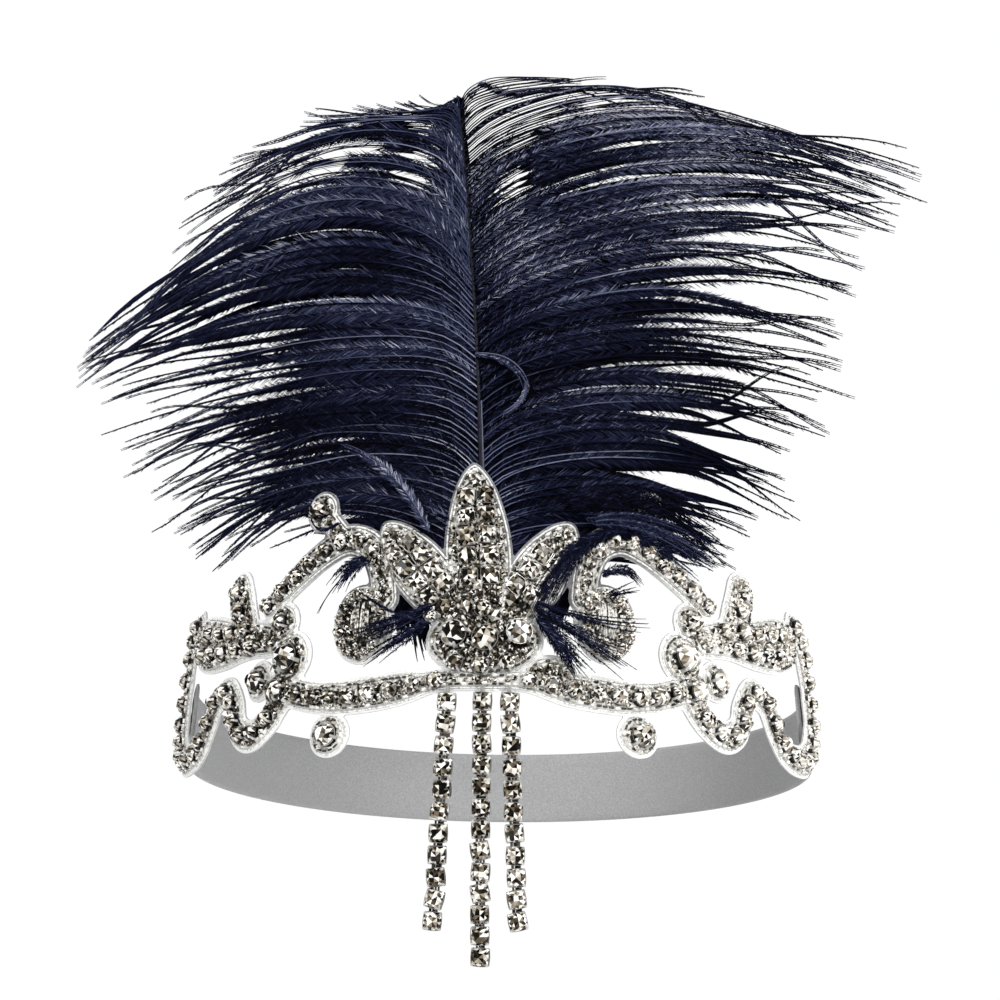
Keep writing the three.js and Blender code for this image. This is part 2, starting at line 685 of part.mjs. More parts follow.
const elasticStart = LACE_HALF_LENGTH - ELASTIC_OVERLAP;
const elasticLength = 2 * (HALF_ROUND - elasticStart);
const elasticFlat = welded(new THREE.BoxGeometry(
  elasticLength, ELASTIC_WIDTH, ELASTIC_THICK, Math.ceil(elasticLength / LONGEST_STEP),
).translate(HALF_ROUND, 0, ELASTIC_THICK / 2));
const elastic = bendRound(
  triples(elasticFlat.attributes.position.array), triples(elasticFlat.index.array),
);
ring.add(mesh("elastic_band", elastic, elasticFinish));
ring.add(mesh("lace_flower", wrap(laceFlower()), laceFinish));
for (const petal of PETALS) {
  ring.add(mesh(`stones_petal_${petal.name}`, wrap(petalStones(petal)), stoneFinish));
}

function mainStone(name, row, side) {
  const s = side * row.along * LACE_HALF_LENGTH;
  const h = row.up * LACE_RISE;
  const stone = mesh(name, cupStone(row.stone_share * MAIN_STONE), stoneFinish);
  const { outward } = outwardAt(s);
  stone.position.copy(onHead(s, h, STONE_BASE));
  const facing = new THREE.Vector3(outward.x, outward.y, Math.tan(CROWN_TAPER * DEGREE));
  stone.quaternion.setFromUnitVectors(new THREE.Vector3(0, 0, 1), facing.normalize());
  ring.add(stone);
}

HEART_STONES.forEach((row, index) => mainStone(`heart_stone_${index + 1}`, row, 1));

for (const [name, side] of [["left", -1], ["right", 1]]) {
  ring.add(mesh(`lace_bar_${name}`, wrap(laceBar(side)), laceFinish));
  ring.add(mesh(`lace_arm_${name}`, wrap(laceArm(side)), laceFinish));
  ring.add(mesh(`lace_end_${name}`, wrap(laceEnd(side)), laceFinish));
  ring.add(mesh(`stones_oval_${name}`, wrap(stoneRing(side)), stoneFinish));
  for (const [row, layout] of Object.entries(ROWS)) {
    ring.add(mesh(`stones_${row}_${name}`, wrap(stoneRow(layout, side)), stoneFinish));
  }
  mainStone(`bud_stone_${name}`, BUD, side);
  mainStone(`drop_stone_${name}`, DROP, side);
  mainStone(`tip_stone_${name}`, TIP, side);
  LOBES.forEach((lobe, index) => mainStone(`lobe_stone_${index + 1}_${name}`, lobe, side));
}

// The chains hang from the lower edge of the bar and splay a little. place_share: where each hangs, in
// shares of their spacing, splay: in degrees
const CHAINS = [
  { name: "left", place_share: -1.08, count: CHAIN_COUNT_SIDE, splay: 3.6 },
  { name: "centre", place_share: 0.03, count: CHAIN_COUNT_MIDDLE, splay: 0.6 },
  { name: "right", place_share: 0.9, count: CHAIN_COUNT_SIDE, splay: -1.9 },
];
const hanging = new THREE.Group();
const barFoot = BAR[0].up * LACE_RISE - (BAR[0].wide_share * BAND_WIDTH) / 2;
for (const { name, place_share: place, count, splay } of CHAINS) {
  const chain = mesh(`chain_${name}`, strand(count), stoneFinish);
  const s = place * CHAIN_SPACING;
  chain.position.copy(upright(onHead(s, barFoot, STONE_BASE)));
  const { outward } = outwardAt(s);
  chain.rotation.set(0, splay * DEGREE, Math.atan2(outward.x, -outward.y));
  hanging.add(chain);
}

const headband = new THREE.Group();
headband.add(ring, hanging, mesh("plume", plume(), featherFinish));

export default headband;
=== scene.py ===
# Flapper feather headband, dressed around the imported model. Metres, +Z up, the front of the head
# towards -Y, the origin in the middle of the hollow for the head.
import math

import bpy
import numpy as np
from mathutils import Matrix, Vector
from mathutils.geometry import delaunay_2d_cdt


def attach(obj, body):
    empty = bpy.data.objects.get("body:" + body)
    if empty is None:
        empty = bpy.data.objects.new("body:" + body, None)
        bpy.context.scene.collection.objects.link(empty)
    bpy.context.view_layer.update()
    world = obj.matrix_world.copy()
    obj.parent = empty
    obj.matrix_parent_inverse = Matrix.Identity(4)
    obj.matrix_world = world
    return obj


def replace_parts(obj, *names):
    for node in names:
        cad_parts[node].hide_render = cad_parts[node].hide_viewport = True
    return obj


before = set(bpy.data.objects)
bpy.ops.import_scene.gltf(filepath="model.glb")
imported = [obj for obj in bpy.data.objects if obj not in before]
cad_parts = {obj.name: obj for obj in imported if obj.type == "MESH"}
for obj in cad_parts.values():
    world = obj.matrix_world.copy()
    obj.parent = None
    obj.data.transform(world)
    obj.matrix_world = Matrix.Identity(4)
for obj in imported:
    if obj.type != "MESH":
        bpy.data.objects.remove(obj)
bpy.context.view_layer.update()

MM = 0.001
DEGREE = math.pi / 180

# The ring that the head fills
HEAD_HALF_WIDTH = 76 * MM
HEAD_HALF_DEPTH = 95 * MM
RING_TILT = 11.5 * DEGREE
CROWN_TAPER = math.tan(5.5 * DEGREE)

# The elastic
ELASTIC_WIDTH = 18 * MM
ELASTIC_THICK = 1.2 * MM
ELASTIC_START = 111.5 * MM

# The lace: its half length, its rise from the bar to the petal's tip, its height with the drops
LACE_HALF_LENGTH = 120 * MM
LACE_RISE = 49 * MM
CHART_SCALE = np.array([LACE_HALF_LENGTH, LACE_RISE])
BAND_WIDTH = 8.4 * MM

# Layers of the lace outwards from the head: net, border thread, padding, and the stones' girdles
LACE_INNER = 1.5 * MM
NET_INNER = LACE_INNER + 0.15 * MM
NET_THICK = 0.5 * MM
THREAD_OUT = LACE_INNER + 0.25 * MM + NET_THICK
GROUND_TOP = 2.75 * MM
GIRDLE = 3.75 * MM

# Stones and the hanging chains
MAIN_STONE = 5.8 * MM
ROW_STONE = 3.9 * MM
ROW_PITCH = 4.9 * MM
PETAL_STONE = 4.2 * MM
CHAIN_STONE = 3.5 * MM
CHAIN_PITCH = 5.05 * MM
CHAIN_SPACING = 6.7 * MM
CHAIN_FRONT = 3.0 * MM

# The plume
PLUME_HEIGHT = 138 * MM
PLUME_HALF_WIDTH = 100 * MM
PLUME_LEAN = math.tan(RING_TILT + 5.5 * DEGREE)


# Surface of the head: arc s round the ring from the front, height h up the crown, and out
def ring_foot(angle):
    return np.stack([HEAD_HALF_WIDTH * np.sin(angle), -HEAD_HALF_DEPTH * np.cos(angle)], -1)


def line_lengths(line):
    """How far along a line each of its points lies."""
    return np.concatenate([[0], np.cumsum(np.linalg.norm(np.diff(line, axis=0), axis=1))])


ANGLES = np.linspace(-math.pi, math.pi, 4001)
ARC = line_lengths(ring_foot(ANGLES))
ARC -= ARC[-1] / 2


def unit(vectors):
    return vectors / np.maximum(np.linalg.norm(vectors, axis=-1, keepdims=True), 1e-12)


def smoothstep(low, high, value):
    part = np.clip((value - low) / (high - low), 0, 1)
    return part * part * (3 - 2 * part)


def mix(low, high, part):
    return low + (high - low) * part


def tilt(vectors):
    x, y, z = vectors[..., 0], vectors[..., 1], vectors[..., 2]
    cosine, sine = math.cos(RING_TILT), math.sin(RING_TILT)
    return np.stack([x, y * cosine + z * sine, z * cosine - y * sine], -1)


def ring_at(s):
    """The ring's point at arc s and the flat direction out of it."""
    foot = ring_foot(np.interp(s, ARC, ANGLES))
    return foot, unit(foot / np.array([HEAD_HALF_WIDTH, HEAD_HALF_DEPTH]) ** 2)


def on_head(s, h, out):
    s, h, out = np.broadcast_arrays(np.asarray(s, float), h, out)
    foot, outward = ring_at(s)
    level = foot + outward * (out - h * CROWN_TAPER)[..., None]
    return tilt(np.concatenate([level, h[..., None]], -1))


def head_axes(s):
    """Along the ring, up the crown and out of it, at arc s."""
    _, outward = ring_at(np.asarray(s, float))
    flat = np.zeros(outward.shape[:-1] + (1,))
    out = unit(np.concatenate([outward, flat + CROWN_TAPER], -1))
    along = np.concatenate([-outward[..., 1:], outward[..., :1], flat], -1)
    return tilt(along), tilt(np.cross(out, along)), tilt(out)


def outward_at(s):
    return head_axes(s)[2]


# Meshes gathered as arrays of triangles
class Pile:
    """Many small solids of one piece. Each face has a tint from 0 to 1 that its material reads."""

    def __init__(self):
        self.points, self.faces, self.tints, self.count = [], [], [], 0

    def add(self, points, faces, tints=0.5):
        """points: copies of one form, (copies, corners, 3); faces: (faces, 3); tints: one for all,
        one for each copy, or one for each face of each copy."""
        points = np.asarray(points, float)
        if points.ndim == 2:
            points = points[None]
        copies, corners = points.shape[:2]
        faces = np.asarray(faces, int)
        first = self.count + corners * np.arange(copies)
        tints = np.asarray(tints, float)
        if tints.ndim == 1:
            tints = tints[:, None]
        self.points.append(points.reshape(-1, 3))
        self.faces.append((faces[None] + first[:, None, None]).reshape(-1, 3))
        self.tints.append(np.broadcast_to(tints, (copies, len(faces))).reshape(-1))
        self.count += copies * corners

    def make(self, name, slot, material, smooth=False):
        points = np.concatenate(self.points)
        faces = np.concatenate(self.faces).astype(np.int32)
        mesh = bpy.data.meshes.new(name)
        mesh.vertices.add(len(points))
        mesh.vertices.foreach_set("co", points.astype(np.float32).ravel())
        mesh.loops.add(faces.size)
        mesh.loops.foreach_set("vertex_index", faces.ravel())
        mesh.polygons.add(len(faces))
        mesh.polygons.foreach_set("loop_start", np.arange(0, faces.size, 3, dtype=np.int32))
        mesh.polygons.foreach_set("use_smooth", np.full(len(faces), smooth))
        tints = np.concatenate(self.tints).astype(np.float32)
        mesh.attributes.new("tint", "FLOAT", "FACE").data.foreach_set("value", tints)
        mesh.update(calc_edges=True)
        mesh.materials.append(material)
        piece = bpy.data.objects.new(name, mesh)
        bpy.context.scene.collection.objects.link(piece)
        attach(piece, "root")
        return piece


def stack_faces(rings, sides, closed_ends=True):
    """Triangles of a stack of rings with the same number of corners, low to high."""
    low = np.arange(sides)
    high = (low + 1) % sides
    faces = []
    for ring in range(rings - 1):
        a, b = ring * sides + low, ring * sides + high
        faces += [np.stack([a, b, b + sides], -1), np.stack([a, b + sides, a + sides], -1)]
    if closed_ends:
        fan = np.arange(1, sides - 1)
        top = (rings - 1) * sides
        faces += [np.stack([fan * 0, fan + 1, fan], -1), np.stack([fan * 0, fan, fan + 1], -1) + top]
    return np.concatenate(faces)


def corner_angles(sides, turn=0.0):
    return 2 * math.pi * (np.arange(sides) + turn) / sides


def ring_points(sides, radius, height, turn=0.0):
    angle = corner_angles(sides, turn)
    return np.stack([radius * np.cos(angle), radius * np.sin(angle), np.full(sides, height)], -1)


def placed(form, middles, axes, scales, spins):
    """Copies of a form, (corners, 3), at each middle, with its x, y and z along the three axes."""
    count = len(middles)
    scales = np.broadcast_to(np.asarray(scales, float), count)[:, None, None]
    spins = np.broadcast_to(np.asarray(spins, float), count)[:, None]
    x = form[None, :, 0] * np.cos(spins) - form[None, :, 1] * np.sin(spins)
    y = form[None, :, 0] * np.sin(spins) + form[None, :, 1] * np.cos(spins)
    z = np.broadcast_to(form[None, :, 2], x.shape)
    first, second, third = (np.broadcast_to(axis, (count, 3))[:, None] for axis in axes)
    turned = x[..., None] * first + y[..., None] * second + z[..., None] * third
    return middles[:, None] + scales * turned


# Profiles of rods as (share of the length, share of the radius)
BARREL = ((0, 0.75), (0.2, 1), (0.8, 1), (1, 0.75))
ROD = ((0, 1), (1, 1))
PLATE = ((0, 0.9), (0.3, 1), (1, 1))


def add_rods(pile, starts, ends, radius, normals, sides=6, shape=BARREL, tints=0.5):
    """Short rods from starts to ends, each with its radius and tint."""
    run = ends - starts
    across = unit(np.cross(normals, run))
    through = unit(np.cross(run, across))
    angle = corner_angles(sides)[:, None]
    spokes = across[:, None] * np.cos(angle) + through[:, None] * np.sin(angle)
    radius = np.broadcast_to(np.asarray(radius, float), len(starts))[:, None, None]
    rings = [starts[:, None] + share * run[:, None] + width * radius * spokes for share, width in shape]
    pile.add(np.concatenate(rings, 1), stack_faces(len(shape), sides), tints)


def add_tubes(pile, lines, radii, normals, sides, tints=0.5, flat=1.0):
    """Tubes along lines, (tubes, stations, 3), with radii, and where wanted tints, for each station."""
    count, stations = lines.shape[:2]
    run = np.gradient(lines, axis=1)
    across = unit(np.cross(np.broadcast_to(normals, lines.shape), run))[:, :, None]
    through = unit(np.cross(run, across[:, :, 0]))[:, :, None]
    angle = corner_angles(sides)[:, None]
    spokes = across * np.cos(angle) + flat * through * np.sin(angle)
    radii = np.broadcast_to(radii, (count, stations))[:, :, None, None]
    points = lines[:, :, None] + radii * spokes
    tints = np.asarray(tints, float)
    if tints.ndim == 2:
        ends = np.repeat(tints[:, -1:], 2 * (sides - 2), 1)
        tints = np.concatenate([np.repeat(tints[:, :-1], 2 * sides, 1), ends], 1)
    pile.add(points.reshape(count, stations * sides, 3), stack_faces(stations, sides), tints)


# Materials
def shader(name, **sockets):
    """A material and its shader, with the values of the shader's sockets."""
    material = bpy.data.materials.new(name)
    material.use_nodes = True
    bsdf = material.node_tree.nodes["Principled BSDF"]
    for socket, value in sockets.items():
        bsdf.inputs[socket.replace("_", " ")].default_value = value
    return material, bsdf


def node(tree, kind, inputs=None, **settings):
    made = tree.nodes.new(kind)
    for name, value in settings.items():
        setattr(made, name, value)
    for socket, value in (inputs or {}).items():
        if isinstance(value, bpy.types.NodeSocket):
            tree.links.new(value, made.inputs[socket])
        else:
            made.inputs[socket].default_value = value
    return made


def tint_of(tree):
    return node(tree, "ShaderNodeAttribute", attribute_name="tint").outputs["Fac"]


def noise(tree, scale, detail=3.0):
    where = node(tree, "ShaderNodeTexCoord").outputs["Object"]
    made = node(tree, "ShaderNodeTexNoise", {"Vector": where, "Scale": scale, "Detail": detail})
    return made.outputs["Fac"]


def add_share(tree, whole, part, share=0.3):
    """One shade with a share of another on top."""
    made = node(tree, "ShaderNodeMath", {0: part, 1: share, 2: whole}, operation="MULTIPLY_ADD")
    return made.outputs["Value"]


def painted(name, stops, shade=tint_of, relief=None, **sockets):
    """A material whose colour follows a shade through stops, each (shade, colour). Relief is the
    scale and detail of a noise, and the strength and depth of the bumps that it raises."""
    material, bsdf = shader(name, **sockets)
    tree = material.node_tree
    ramp = node(tree, "ShaderNodeValToRGB", {"Fac": shade(tree)})
    elements = ramp.color_ramp.elements
    while len(elements) < len(stops):
        elements.new(0.5)
    for element, (place, colour) in zip(elements, stops):
        element.position = place
        element.color = (*colour, 1)
    tree.links.new(ramp.outputs["Color"], bsdf.inputs["Base Color"])
    if relief:
        scale, detail, strength, depth = relief
        height = noise(tree, scale, detail)
        bumps = node(tree, "ShaderNodeBump", {"Height": height, "Strength": strength, "Distance": depth})
        tree.links.new(bumps.outputs["Normal"], bsdf.inputs["Normal"])
    return material


# Colours of the stones by each facet's tint, from black to white: painted reflections and glints.
STONE = painted("stone_glass", [
    (0.0, (0.001, 0.001, 0.001)), (0.22, (0.014, 0.011, 0.007)), (0.48, (0.15, 0.118, 0.078)),
    (0.7, (0.42, 0.38, 0.31)), (0.9, (0.92, 0.89, 0.83)), (1.0, (1, 1, 0.98)),
], Roughness=0.07, Specular_IOR_Level=0.22)
METAL = painted("setting_metal", [
    (0.1, (0.004, 0.004, 0.004)), (0.5, (0.2, 0.19, 0.17)), (1.0, (0.9, 0.89, 0.86)),
], relief=(3000, 3, 0.3, 0.1 * MM), Roughness=0.3, Metallic=0.6)
BEAD = painted("bead_glass", [
    (0.0, (0.01, 0.009, 0.008)), (0.25, (0.12, 0.105, 0.085)), (0.6, (0.5, 0.48, 0.44)),
    (1.0, (1, 1, 0.98)),
], Roughness=0.16, Metallic=0.2, Specular_IOR_Level=0.5)
THREAD = painted("thread_silver", [
    (0.35, (0.42, 0.41, 0.38)), (0.55, (0.95, 0.95, 0.93)),
], lambda tree: noise(tree, 1500), (5000, 3, 0.4, 0.1 * MM), Roughness=0.5)
NET = painted("net_white", [
    (0.22, (0.05, 0.051, 0.058)), (0.45, (0.3, 0.3, 0.31)), (0.75, (0.66, 0.66, 0.65)),
    (1.0, (0.95, 0.95, 0.94)),
], lambda tree: add_share(tree, tint_of(tree), noise(tree, 900)), (4000, 3, 0.5, 0.2 * MM), Roughness=0.6)
GROUND = painted("ground_thread", [
    (0.45, (0.004, 0.003, 0.002)), (0.55, (0.05, 0.044, 0.034)), (0.62, (0.25, 0.235, 0.2)),
    (0.7, (0.75, 0.735, 0.69)), (0.85, (0.93, 0.92, 0.88)),
], lambda tree: add_share(tree, noise(tree, 1300, 5), tint_of(tree)), (2600, 4, 0.8, 0.4 * MM),
    Roughness=0.5, Specular_IOR_Level=0.12)
ELASTIC = painted("elastic_weave", [
    (0.3, (0.298, 0.298, 0.303)), (0.7, (0.418, 0.418, 0.423)),
], lambda tree: noise(tree, 2600, 4), (2600, 4, 0.35, 0.2 * MM), Roughness=0.9, Specular_IOR_Level=0.2)
FEATHER = painted("feather_navy", [
    (0.0, (0.0003, 0.0003, 0.0008)), (0.25, (0.0018, 0.0022, 0.0066)), (0.5, (0.0085, 0.0105, 0.031)),
    (0.75, (0.043, 0.051, 0.1)), (0.9, (0.155, 0.17, 0.255)), (1.0, (0.4, 0.41, 0.5)),
], Roughness=0.6, Specular_IOR_Level=0.02)
QUILL = painted("quill_satin", [
    (0.3, (0.002, 0.002, 0.004)), (0.7, (0.012, 0.012, 0.02)),
], lambda tree: noise(tree, 400), Roughness=0.4, Specular_IOR_Level=0.15)

# Charts of one half of the lace as (along, up, wide): shares of the half length, of the rise and of
# the band's width. ROUNDS adds to along, up and radius the size of its stone, a share of a main one;
# PETALS has a petal's root, tip, width and where along it its pairs of stones stand; ROWS has a row's
# band, from and to along it, how far its stones stand to the sides by turns, and their spacing
BAR = [(0, -0.045, 0.6), (0.085, -0.045, 0.68), (0.167, -0.08, 1), (0.267, -0.1, 1.02),
       (0.35, -0.078, 0.95), (0.43, -0.02, 0.94)]
ARM = [(0.483, 0.408, 0.8), (0.404, 0.535, 0.88), (0.333, 0.633, 0.9), (0.279, 0.673, 0.93),
       (0.23, 0.622, 0.93), (0.205, 0.5, 0.88), (0.197, 0.367, 0.88)]
BUD_NECK = [(0.35, 0.815, 0.75), (0.325, 0.75, 0.75), (0.3, 0.685, 0.75)]
LEAF = [(0.467, 0.23, 1), (0.55, 0.261, 1.2), (0.65, 0.271, 1.5), (0.75, 0.306, 1.68),
        (0.815, 0.337, 1.5)]
FINGER = [(0.565, 0.29, 1.2), (0.592, 0.408, 1.35), (0.61, 0.51, 1.3)]
MEANDER = [(0.865, 0.44, 1), (0.928, 0.337, 1.1), (0.955, 0.143, 1.06), (0.945, -0.061, 1),
           (0.892, -0.204, 1), (0.817, -0.245, 0.95), (0.738, -0.214, 0.95), (0.696, -0.112, 0.9),
           (0.67, -0.01, 0.9), (0.62, 0.02, 0.9), (0.583, -0.071, 0.9), (0.567, -0.173, 0.9),
           (0.52, -0.229, 0.95), (0.467, -0.173, 0.95), (0.432, -0.071, 0.95)]
OVAL = {"along": 0.241, "up": 0.249, "half_along": 0.066, "half_up": 0.196}
HEART = {"along": 0.004, "up": 0.147, "half_along": 0.112, "half_up": 0.184}
LEAFLET = {"along": 0.128, "up": -0.005, "half_along": 0.052, "half_up": 0.09}
ROUNDS = {
    "bud": (0.357, 0.833, 0.59, 0.79), "drop": (0.3, -0.278, 0.64, 0.93),
    "tip": (0.486, 0.402, 0.4, 0.59),
    "lobe_1": (0.44, 0.306, 0.6, 0.72), "lobe_2": (0.412, 0.127, 0.775, 1.1),
    "lobe_3": (0.502, 0.037, 0.6, 0.83), "lobe_4": (0.4375, -0.027, 0.62, 0.83),
}
PETALS = {
    "centre": ((0, 0.2), (-0.022, 1.0), 1.92, (0.32, 0.445, 0.57, 0.695, 0.815)),
    "left": ((-0.046, 0.265), (-0.203, 0.728), 1.68, (0.27, 0.425, 0.58, 0.735)),
    "right": ((0.05, 0.265), (0.176, 0.718), 1.68, (0.27, 0.445, 0.62)),
}
PETAL_FORM = [(0, 0.55), (0.25, 0.92), (0.5, 1), (0.75, 0.78), (0.9, 0.48), (1, 0.14)]
HEART_STONES = [(-0.053, 0.178, 1), (0.005, 0.155, 1), (0.068, 0.188, 1), (-0.05, 0.04, 0.66),
                (-0.003, 0.028, 0.66), (0.045, 0.04, 0.66), (0, 0.3, 0.66), (-0.096, 0.262, 0.48)]
ROWS = {
    "bar": (BAR, 0.2, 0.9, 0, 1), "arm": (ARM, 0.11, 0.74, 0, 1), "leaf": (LEAF, 0.2, 0.86, 0.6, 0.72),
    "finger": (FINGER, 0.6, 1, 0, 1), "meander": (MEANDER, 0, 0.95, 0, 1.1),
}
BANDS = {"bar": BAR, "arm": ARM, "neck": BUD_NECK, "leaf": LEAF, "finger": FINGER, "meander": MEANDER}
SIDES = {"left": -1, "right": 1}


def smooth_line(rows, step):
    """Even steps along the centripetal Catmull-Rom curve through the rows."""
    rows = np.asarray(rows, float)
    rows = np.vstack([2 * rows[0] - rows[1], rows, 2 * rows[-1] - rows[-2]])
    u = np.linspace(0, 1, 40, endpoint=False)[:, None]
    parts = []
    for p0, p1, p2, p3 in zip(rows, rows[1:], rows[2:], rows[3:]):
        before, here, after = np.sqrt(np.linalg.norm([p1 - p0, p2 - p1, p3 - p2], axis=1))
        start = here * ((p1 - p0) / before - (p2 - p0) / (before + here) + (p2 - p1) / here)
        end = here * ((p2 - p1) / here - (p3 - p1) / (here + after) + (p3 - p2) / after)
        parts.append(p1 + u * start + u ** 2 * (3 * (p2 - p1) - 2 * start - end)
                     + u ** 3 * (start + end - 2 * (p2 - p1)))
    return resampled(np.vstack(parts + [rows[-2:-1]]), step)


def resampled(line, step):
    length = line_lengths(line[:, :2])
    at = np.linspace(0, length[-1], max(2, round(length[-1] / step)) + 1)
    return np.stack([np.interp(at, length, column) for column in line.T], -1)


def chart(rows, side):
    return np.array(rows) * [side * LACE_HALF_LENGTH, LACE_RISE, BAND_WIDTH]


BAND_STEP = 0.8 * MM
PETAL_STEP = 0.6 * MM


# Motifs of the lace: each tells how deep inside it a flat point (s, h) lies
def round_motif(discs):
    """Union of discs, each (s, h, radius)."""
    discs = np.asarray(discs, float)

    def depth(points):
        deepest = np.full(len(points), -np.inf)
        for s, h, radius in discs:
            away = np.hypot(points[:, 0] - s, points[:, 1] - h)
            np.maximum(deepest, radius - away, out=deepest)
        return deepest

    return depth


def band_motif(rows, side):
    line = smooth_line(chart(rows, side), BAND_STEP)
    return round_motif(line * [1, 1, 0.5])


def oval_motif(row, side):
    middle = np.array([side * row["along"], row["up"]]) * CHART_SCALE
    half = np.array([row["half_along"], row["half_up"]]) * CHART_SCALE

    def depth(points):
        away = points - middle
        near = np.linalg.norm(away / half, axis=1)
        slope = np.maximum(np.linalg.norm(away / half ** 2, axis=1), 1e-9)
        return near * (1 - near) / slope

    return depth


def petal_line(name):
    root, tip, wide, _ = PETALS[name]
    root, tip = root * CHART_SCALE, tip * CHART_SCALE
    share = np.linspace(0, 1, round(np.linalg.norm(tip - root) / PETAL_STEP))
    form = smooth_line(PETAL_FORM, 0.02)
    width = np.interp(share, form[:, 0], form[:, 1]) * wide * BAND_WIDTH
    return np.column_stack([root + share[:, None] * (tip - root), width / 2])


def motifs():
    """Every motif with its rank: a border stops where a motif of higher rank, or another of its
    own, covers it."""
    ranks = {"centre": 3, "left": 2, "right": 2}
    found = {f"petal_{name}": (rank, round_motif(petal_line(name))) for name, rank in ranks.items()}
    found["heart"] = (1, oval_motif(HEART, 1))
    found["leaflet"] = (0, oval_motif(LEAFLET, 1))
    for name, side in SIDES.items():
        for band, rows in BANDS.items():
            found[f"{band}_{name}"] = (0, band_motif(rows, side))
        found[f"oval_{name}"] = (1, oval_motif(OVAL, side))
        for spot, (along, up, radius, _) in ROUNDS.items():
            disc = (side * along * LACE_HALF_LENGTH, up * LACE_RISE, radius * BAND_WIDTH)
            found[f"{spot}_{name}"] = (1, round_motif([disc]))
    return found


MOTIFS = motifs()


def lace_depth(points):
    """How deep inside the lace flat points lie."""
    return np.max([depth(points) for _, depth in MOTIFS.values()], axis=0)


# A flat grid over the whole lace, stepped in mm, with every motif's depth on it
GRID_STEP = 0.6
GRID_S = np.arange(-126, 126.1, GRID_STEP) * MM
GRID_H = np.arange(-22, 56.1, GRID_STEP) * MM
GRID = np.stack(np.meshgrid(GRID_S, GRID_H, indexing="ij"), -1).reshape(-1, 2)
DEPTHS = {name: depth(GRID) for name, (_, depth) in MOTIFS.items()}
LACE_DEPTHS = np.max(list(DEPTHS.values()), axis=0)
CORNERS = ((0, 0), (1, 0), (1, 1), (0, 1))


def outlines(depths, level):
    """Closed outlines where the depth on the grid crosses the level, inside on the left."""
    value = (depths - level).reshape(len(GRID_S), len(GRID_H))
    value = np.where(value == 0, 1e-12, value)
    inside = value > 0
    last_s, last_h = len(GRID_S) - 1, len(GRID_H) - 1
    corners = sum(inside[i:last_s + i, j:last_h + j].astype(int) for i, j in CORNERS)
    after, spot = {}, {}
    for i, j in zip(*np.nonzero((corners > 0) & (corners < 4))):
        cell = [(i + a, j + b) for a, b in CORNERS]
        leaving, coming = [], []
        for here, there in zip(cell, cell[1:] + cell[:1]):
            if inside[here] == inside[there]:
                continue
            edge = (min(here, there), max(here, there))
            share = value[here] / (value[here] - value[there])
            s = mix(GRID_S[here[0]], GRID_S[there[0]], share)
            h = mix(GRID_H[here[1]], GRID_H[there[1]], share)
            spot[edge] = (s, h)
            (leaving if inside[here] else coming).append(edge)
        if len(leaving) == 2 and not inside[cell[0]]:
            coming = coming[::-1]
        after.update(zip(leaving, coming[-1:] + coming[:-1]))
    loops = []
    while after:
        start, edge = after.popitem()
        loop = [spot[start]]
        while edge != start:
            loop.append(spot[edge])
            edge = after.pop(edge)
        loops.append(np.array(loop))
    return loops


EDGE_STEP = 0.9 * MM


def sheet_solid(level, inner, outer, spacing):
    """A closed sheet over the lace where it is deeper than the level, between inner and outer(points),
    with flat triangles bent round the head. Returns its corners, its faces and the flat points (s, h)
    of one side."""
    points, edges = [], []
    for loop in outlines(LACE_DEPTHS, level):
        even = resampled(np.vstack([loop, loop[:1]]), EDGE_STEP)[:-1]
        if len(even) < 4:
            continue
        first = sum(len(part) for part in points)
        points.append(even)
        edges += [(first + i, first + (i + 1) % len(even)) for i in range(len(even))]
    s = np.arange(GRID_S[0], GRID_S[-1], spacing)
    h = np.arange(GRID_H[0], GRID_H[-1], spacing)
    middles = np.stack(np.meshgrid(s, h, indexing="ij"), -1).reshape(-1, 2)
    middles = middles[lace_depth(middles) > level + 0.6 * spacing]
    flat = np.concatenate(points + [middles])
    made = delaunay_2d_cdt([Vector(point) for point in flat], edges, [], 0, 1e-7)
    flat = np.array([tuple(point) for point in made[0]])
    faces = np.array([face for face in made[2] if len(face) == 3])
    faces = faces[lace_depth(flat[faces].mean(1)) > level]
    low = on_head(flat[:, 0], flat[:, 1], inner(flat))
    high = on_head(flat[:, 0], flat[:, 1], outer(flat))
    directed = np.concatenate([faces[:, [0, 1]], faces[:, [1, 2]], faces[:, [2, 0]]])
    known = set(map(tuple, directed))
    open_edges = np.array([edge for edge in known if edge[::-1] not in known])
    count = len(flat)
    a, b = open_edges[:, 0], open_edges[:, 1]
    walls = [np.stack([a, a + count, b + count], -1), np.stack([a, b + count, b], -1)]
    used = np.concatenate([faces + count, faces[:, ::-1]] + [wall[:, ::-1] for wall in walls])
    return np.concatenate([low, high]), used, flat


def node_names(starts, ends=""):
    return [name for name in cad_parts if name.startswith(starts) and name.endswith(ends)]


def lace_backing():
    """The net behind the whole lace, slightly puckered."""
    def inner(flat):
        return NET_INNER + 0.06 * MM * np.sin(flat[:, 0] / (1.7 * MM)) * np.cos(flat[:, 1] / (1.3 * MM))

    def outer(flat):
        return inner(flat) + NET_THICK

    pile = Pile()
    points, faces, _ = sheet_solid(0, inner, outer, 1.6 * MM)
    front = (faces >= len(points) // 2).all(1)
    pile.add(points, faces, np.where(front, net_tints(points[faces].mean(1)), 0.5)[None])
    piece = pile.make("lace_backing", "lace", NET, smooth=True)
    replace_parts(piece, *node_names("lace_"))
    sheet_area(points, faces) / 2


def net_tints(points):
    """The thin net looks grey where the plume stands close behind it, and white at the ends."""
    x, z = points[:, 0], points[:, 2]
    before_plume = (1 - smoothstep(34 * MM, 52 * MM, np.abs(x))) * smoothstep(28 * MM, 36 * MM, z)
    return mix(0.85, 0.2, before_plume)


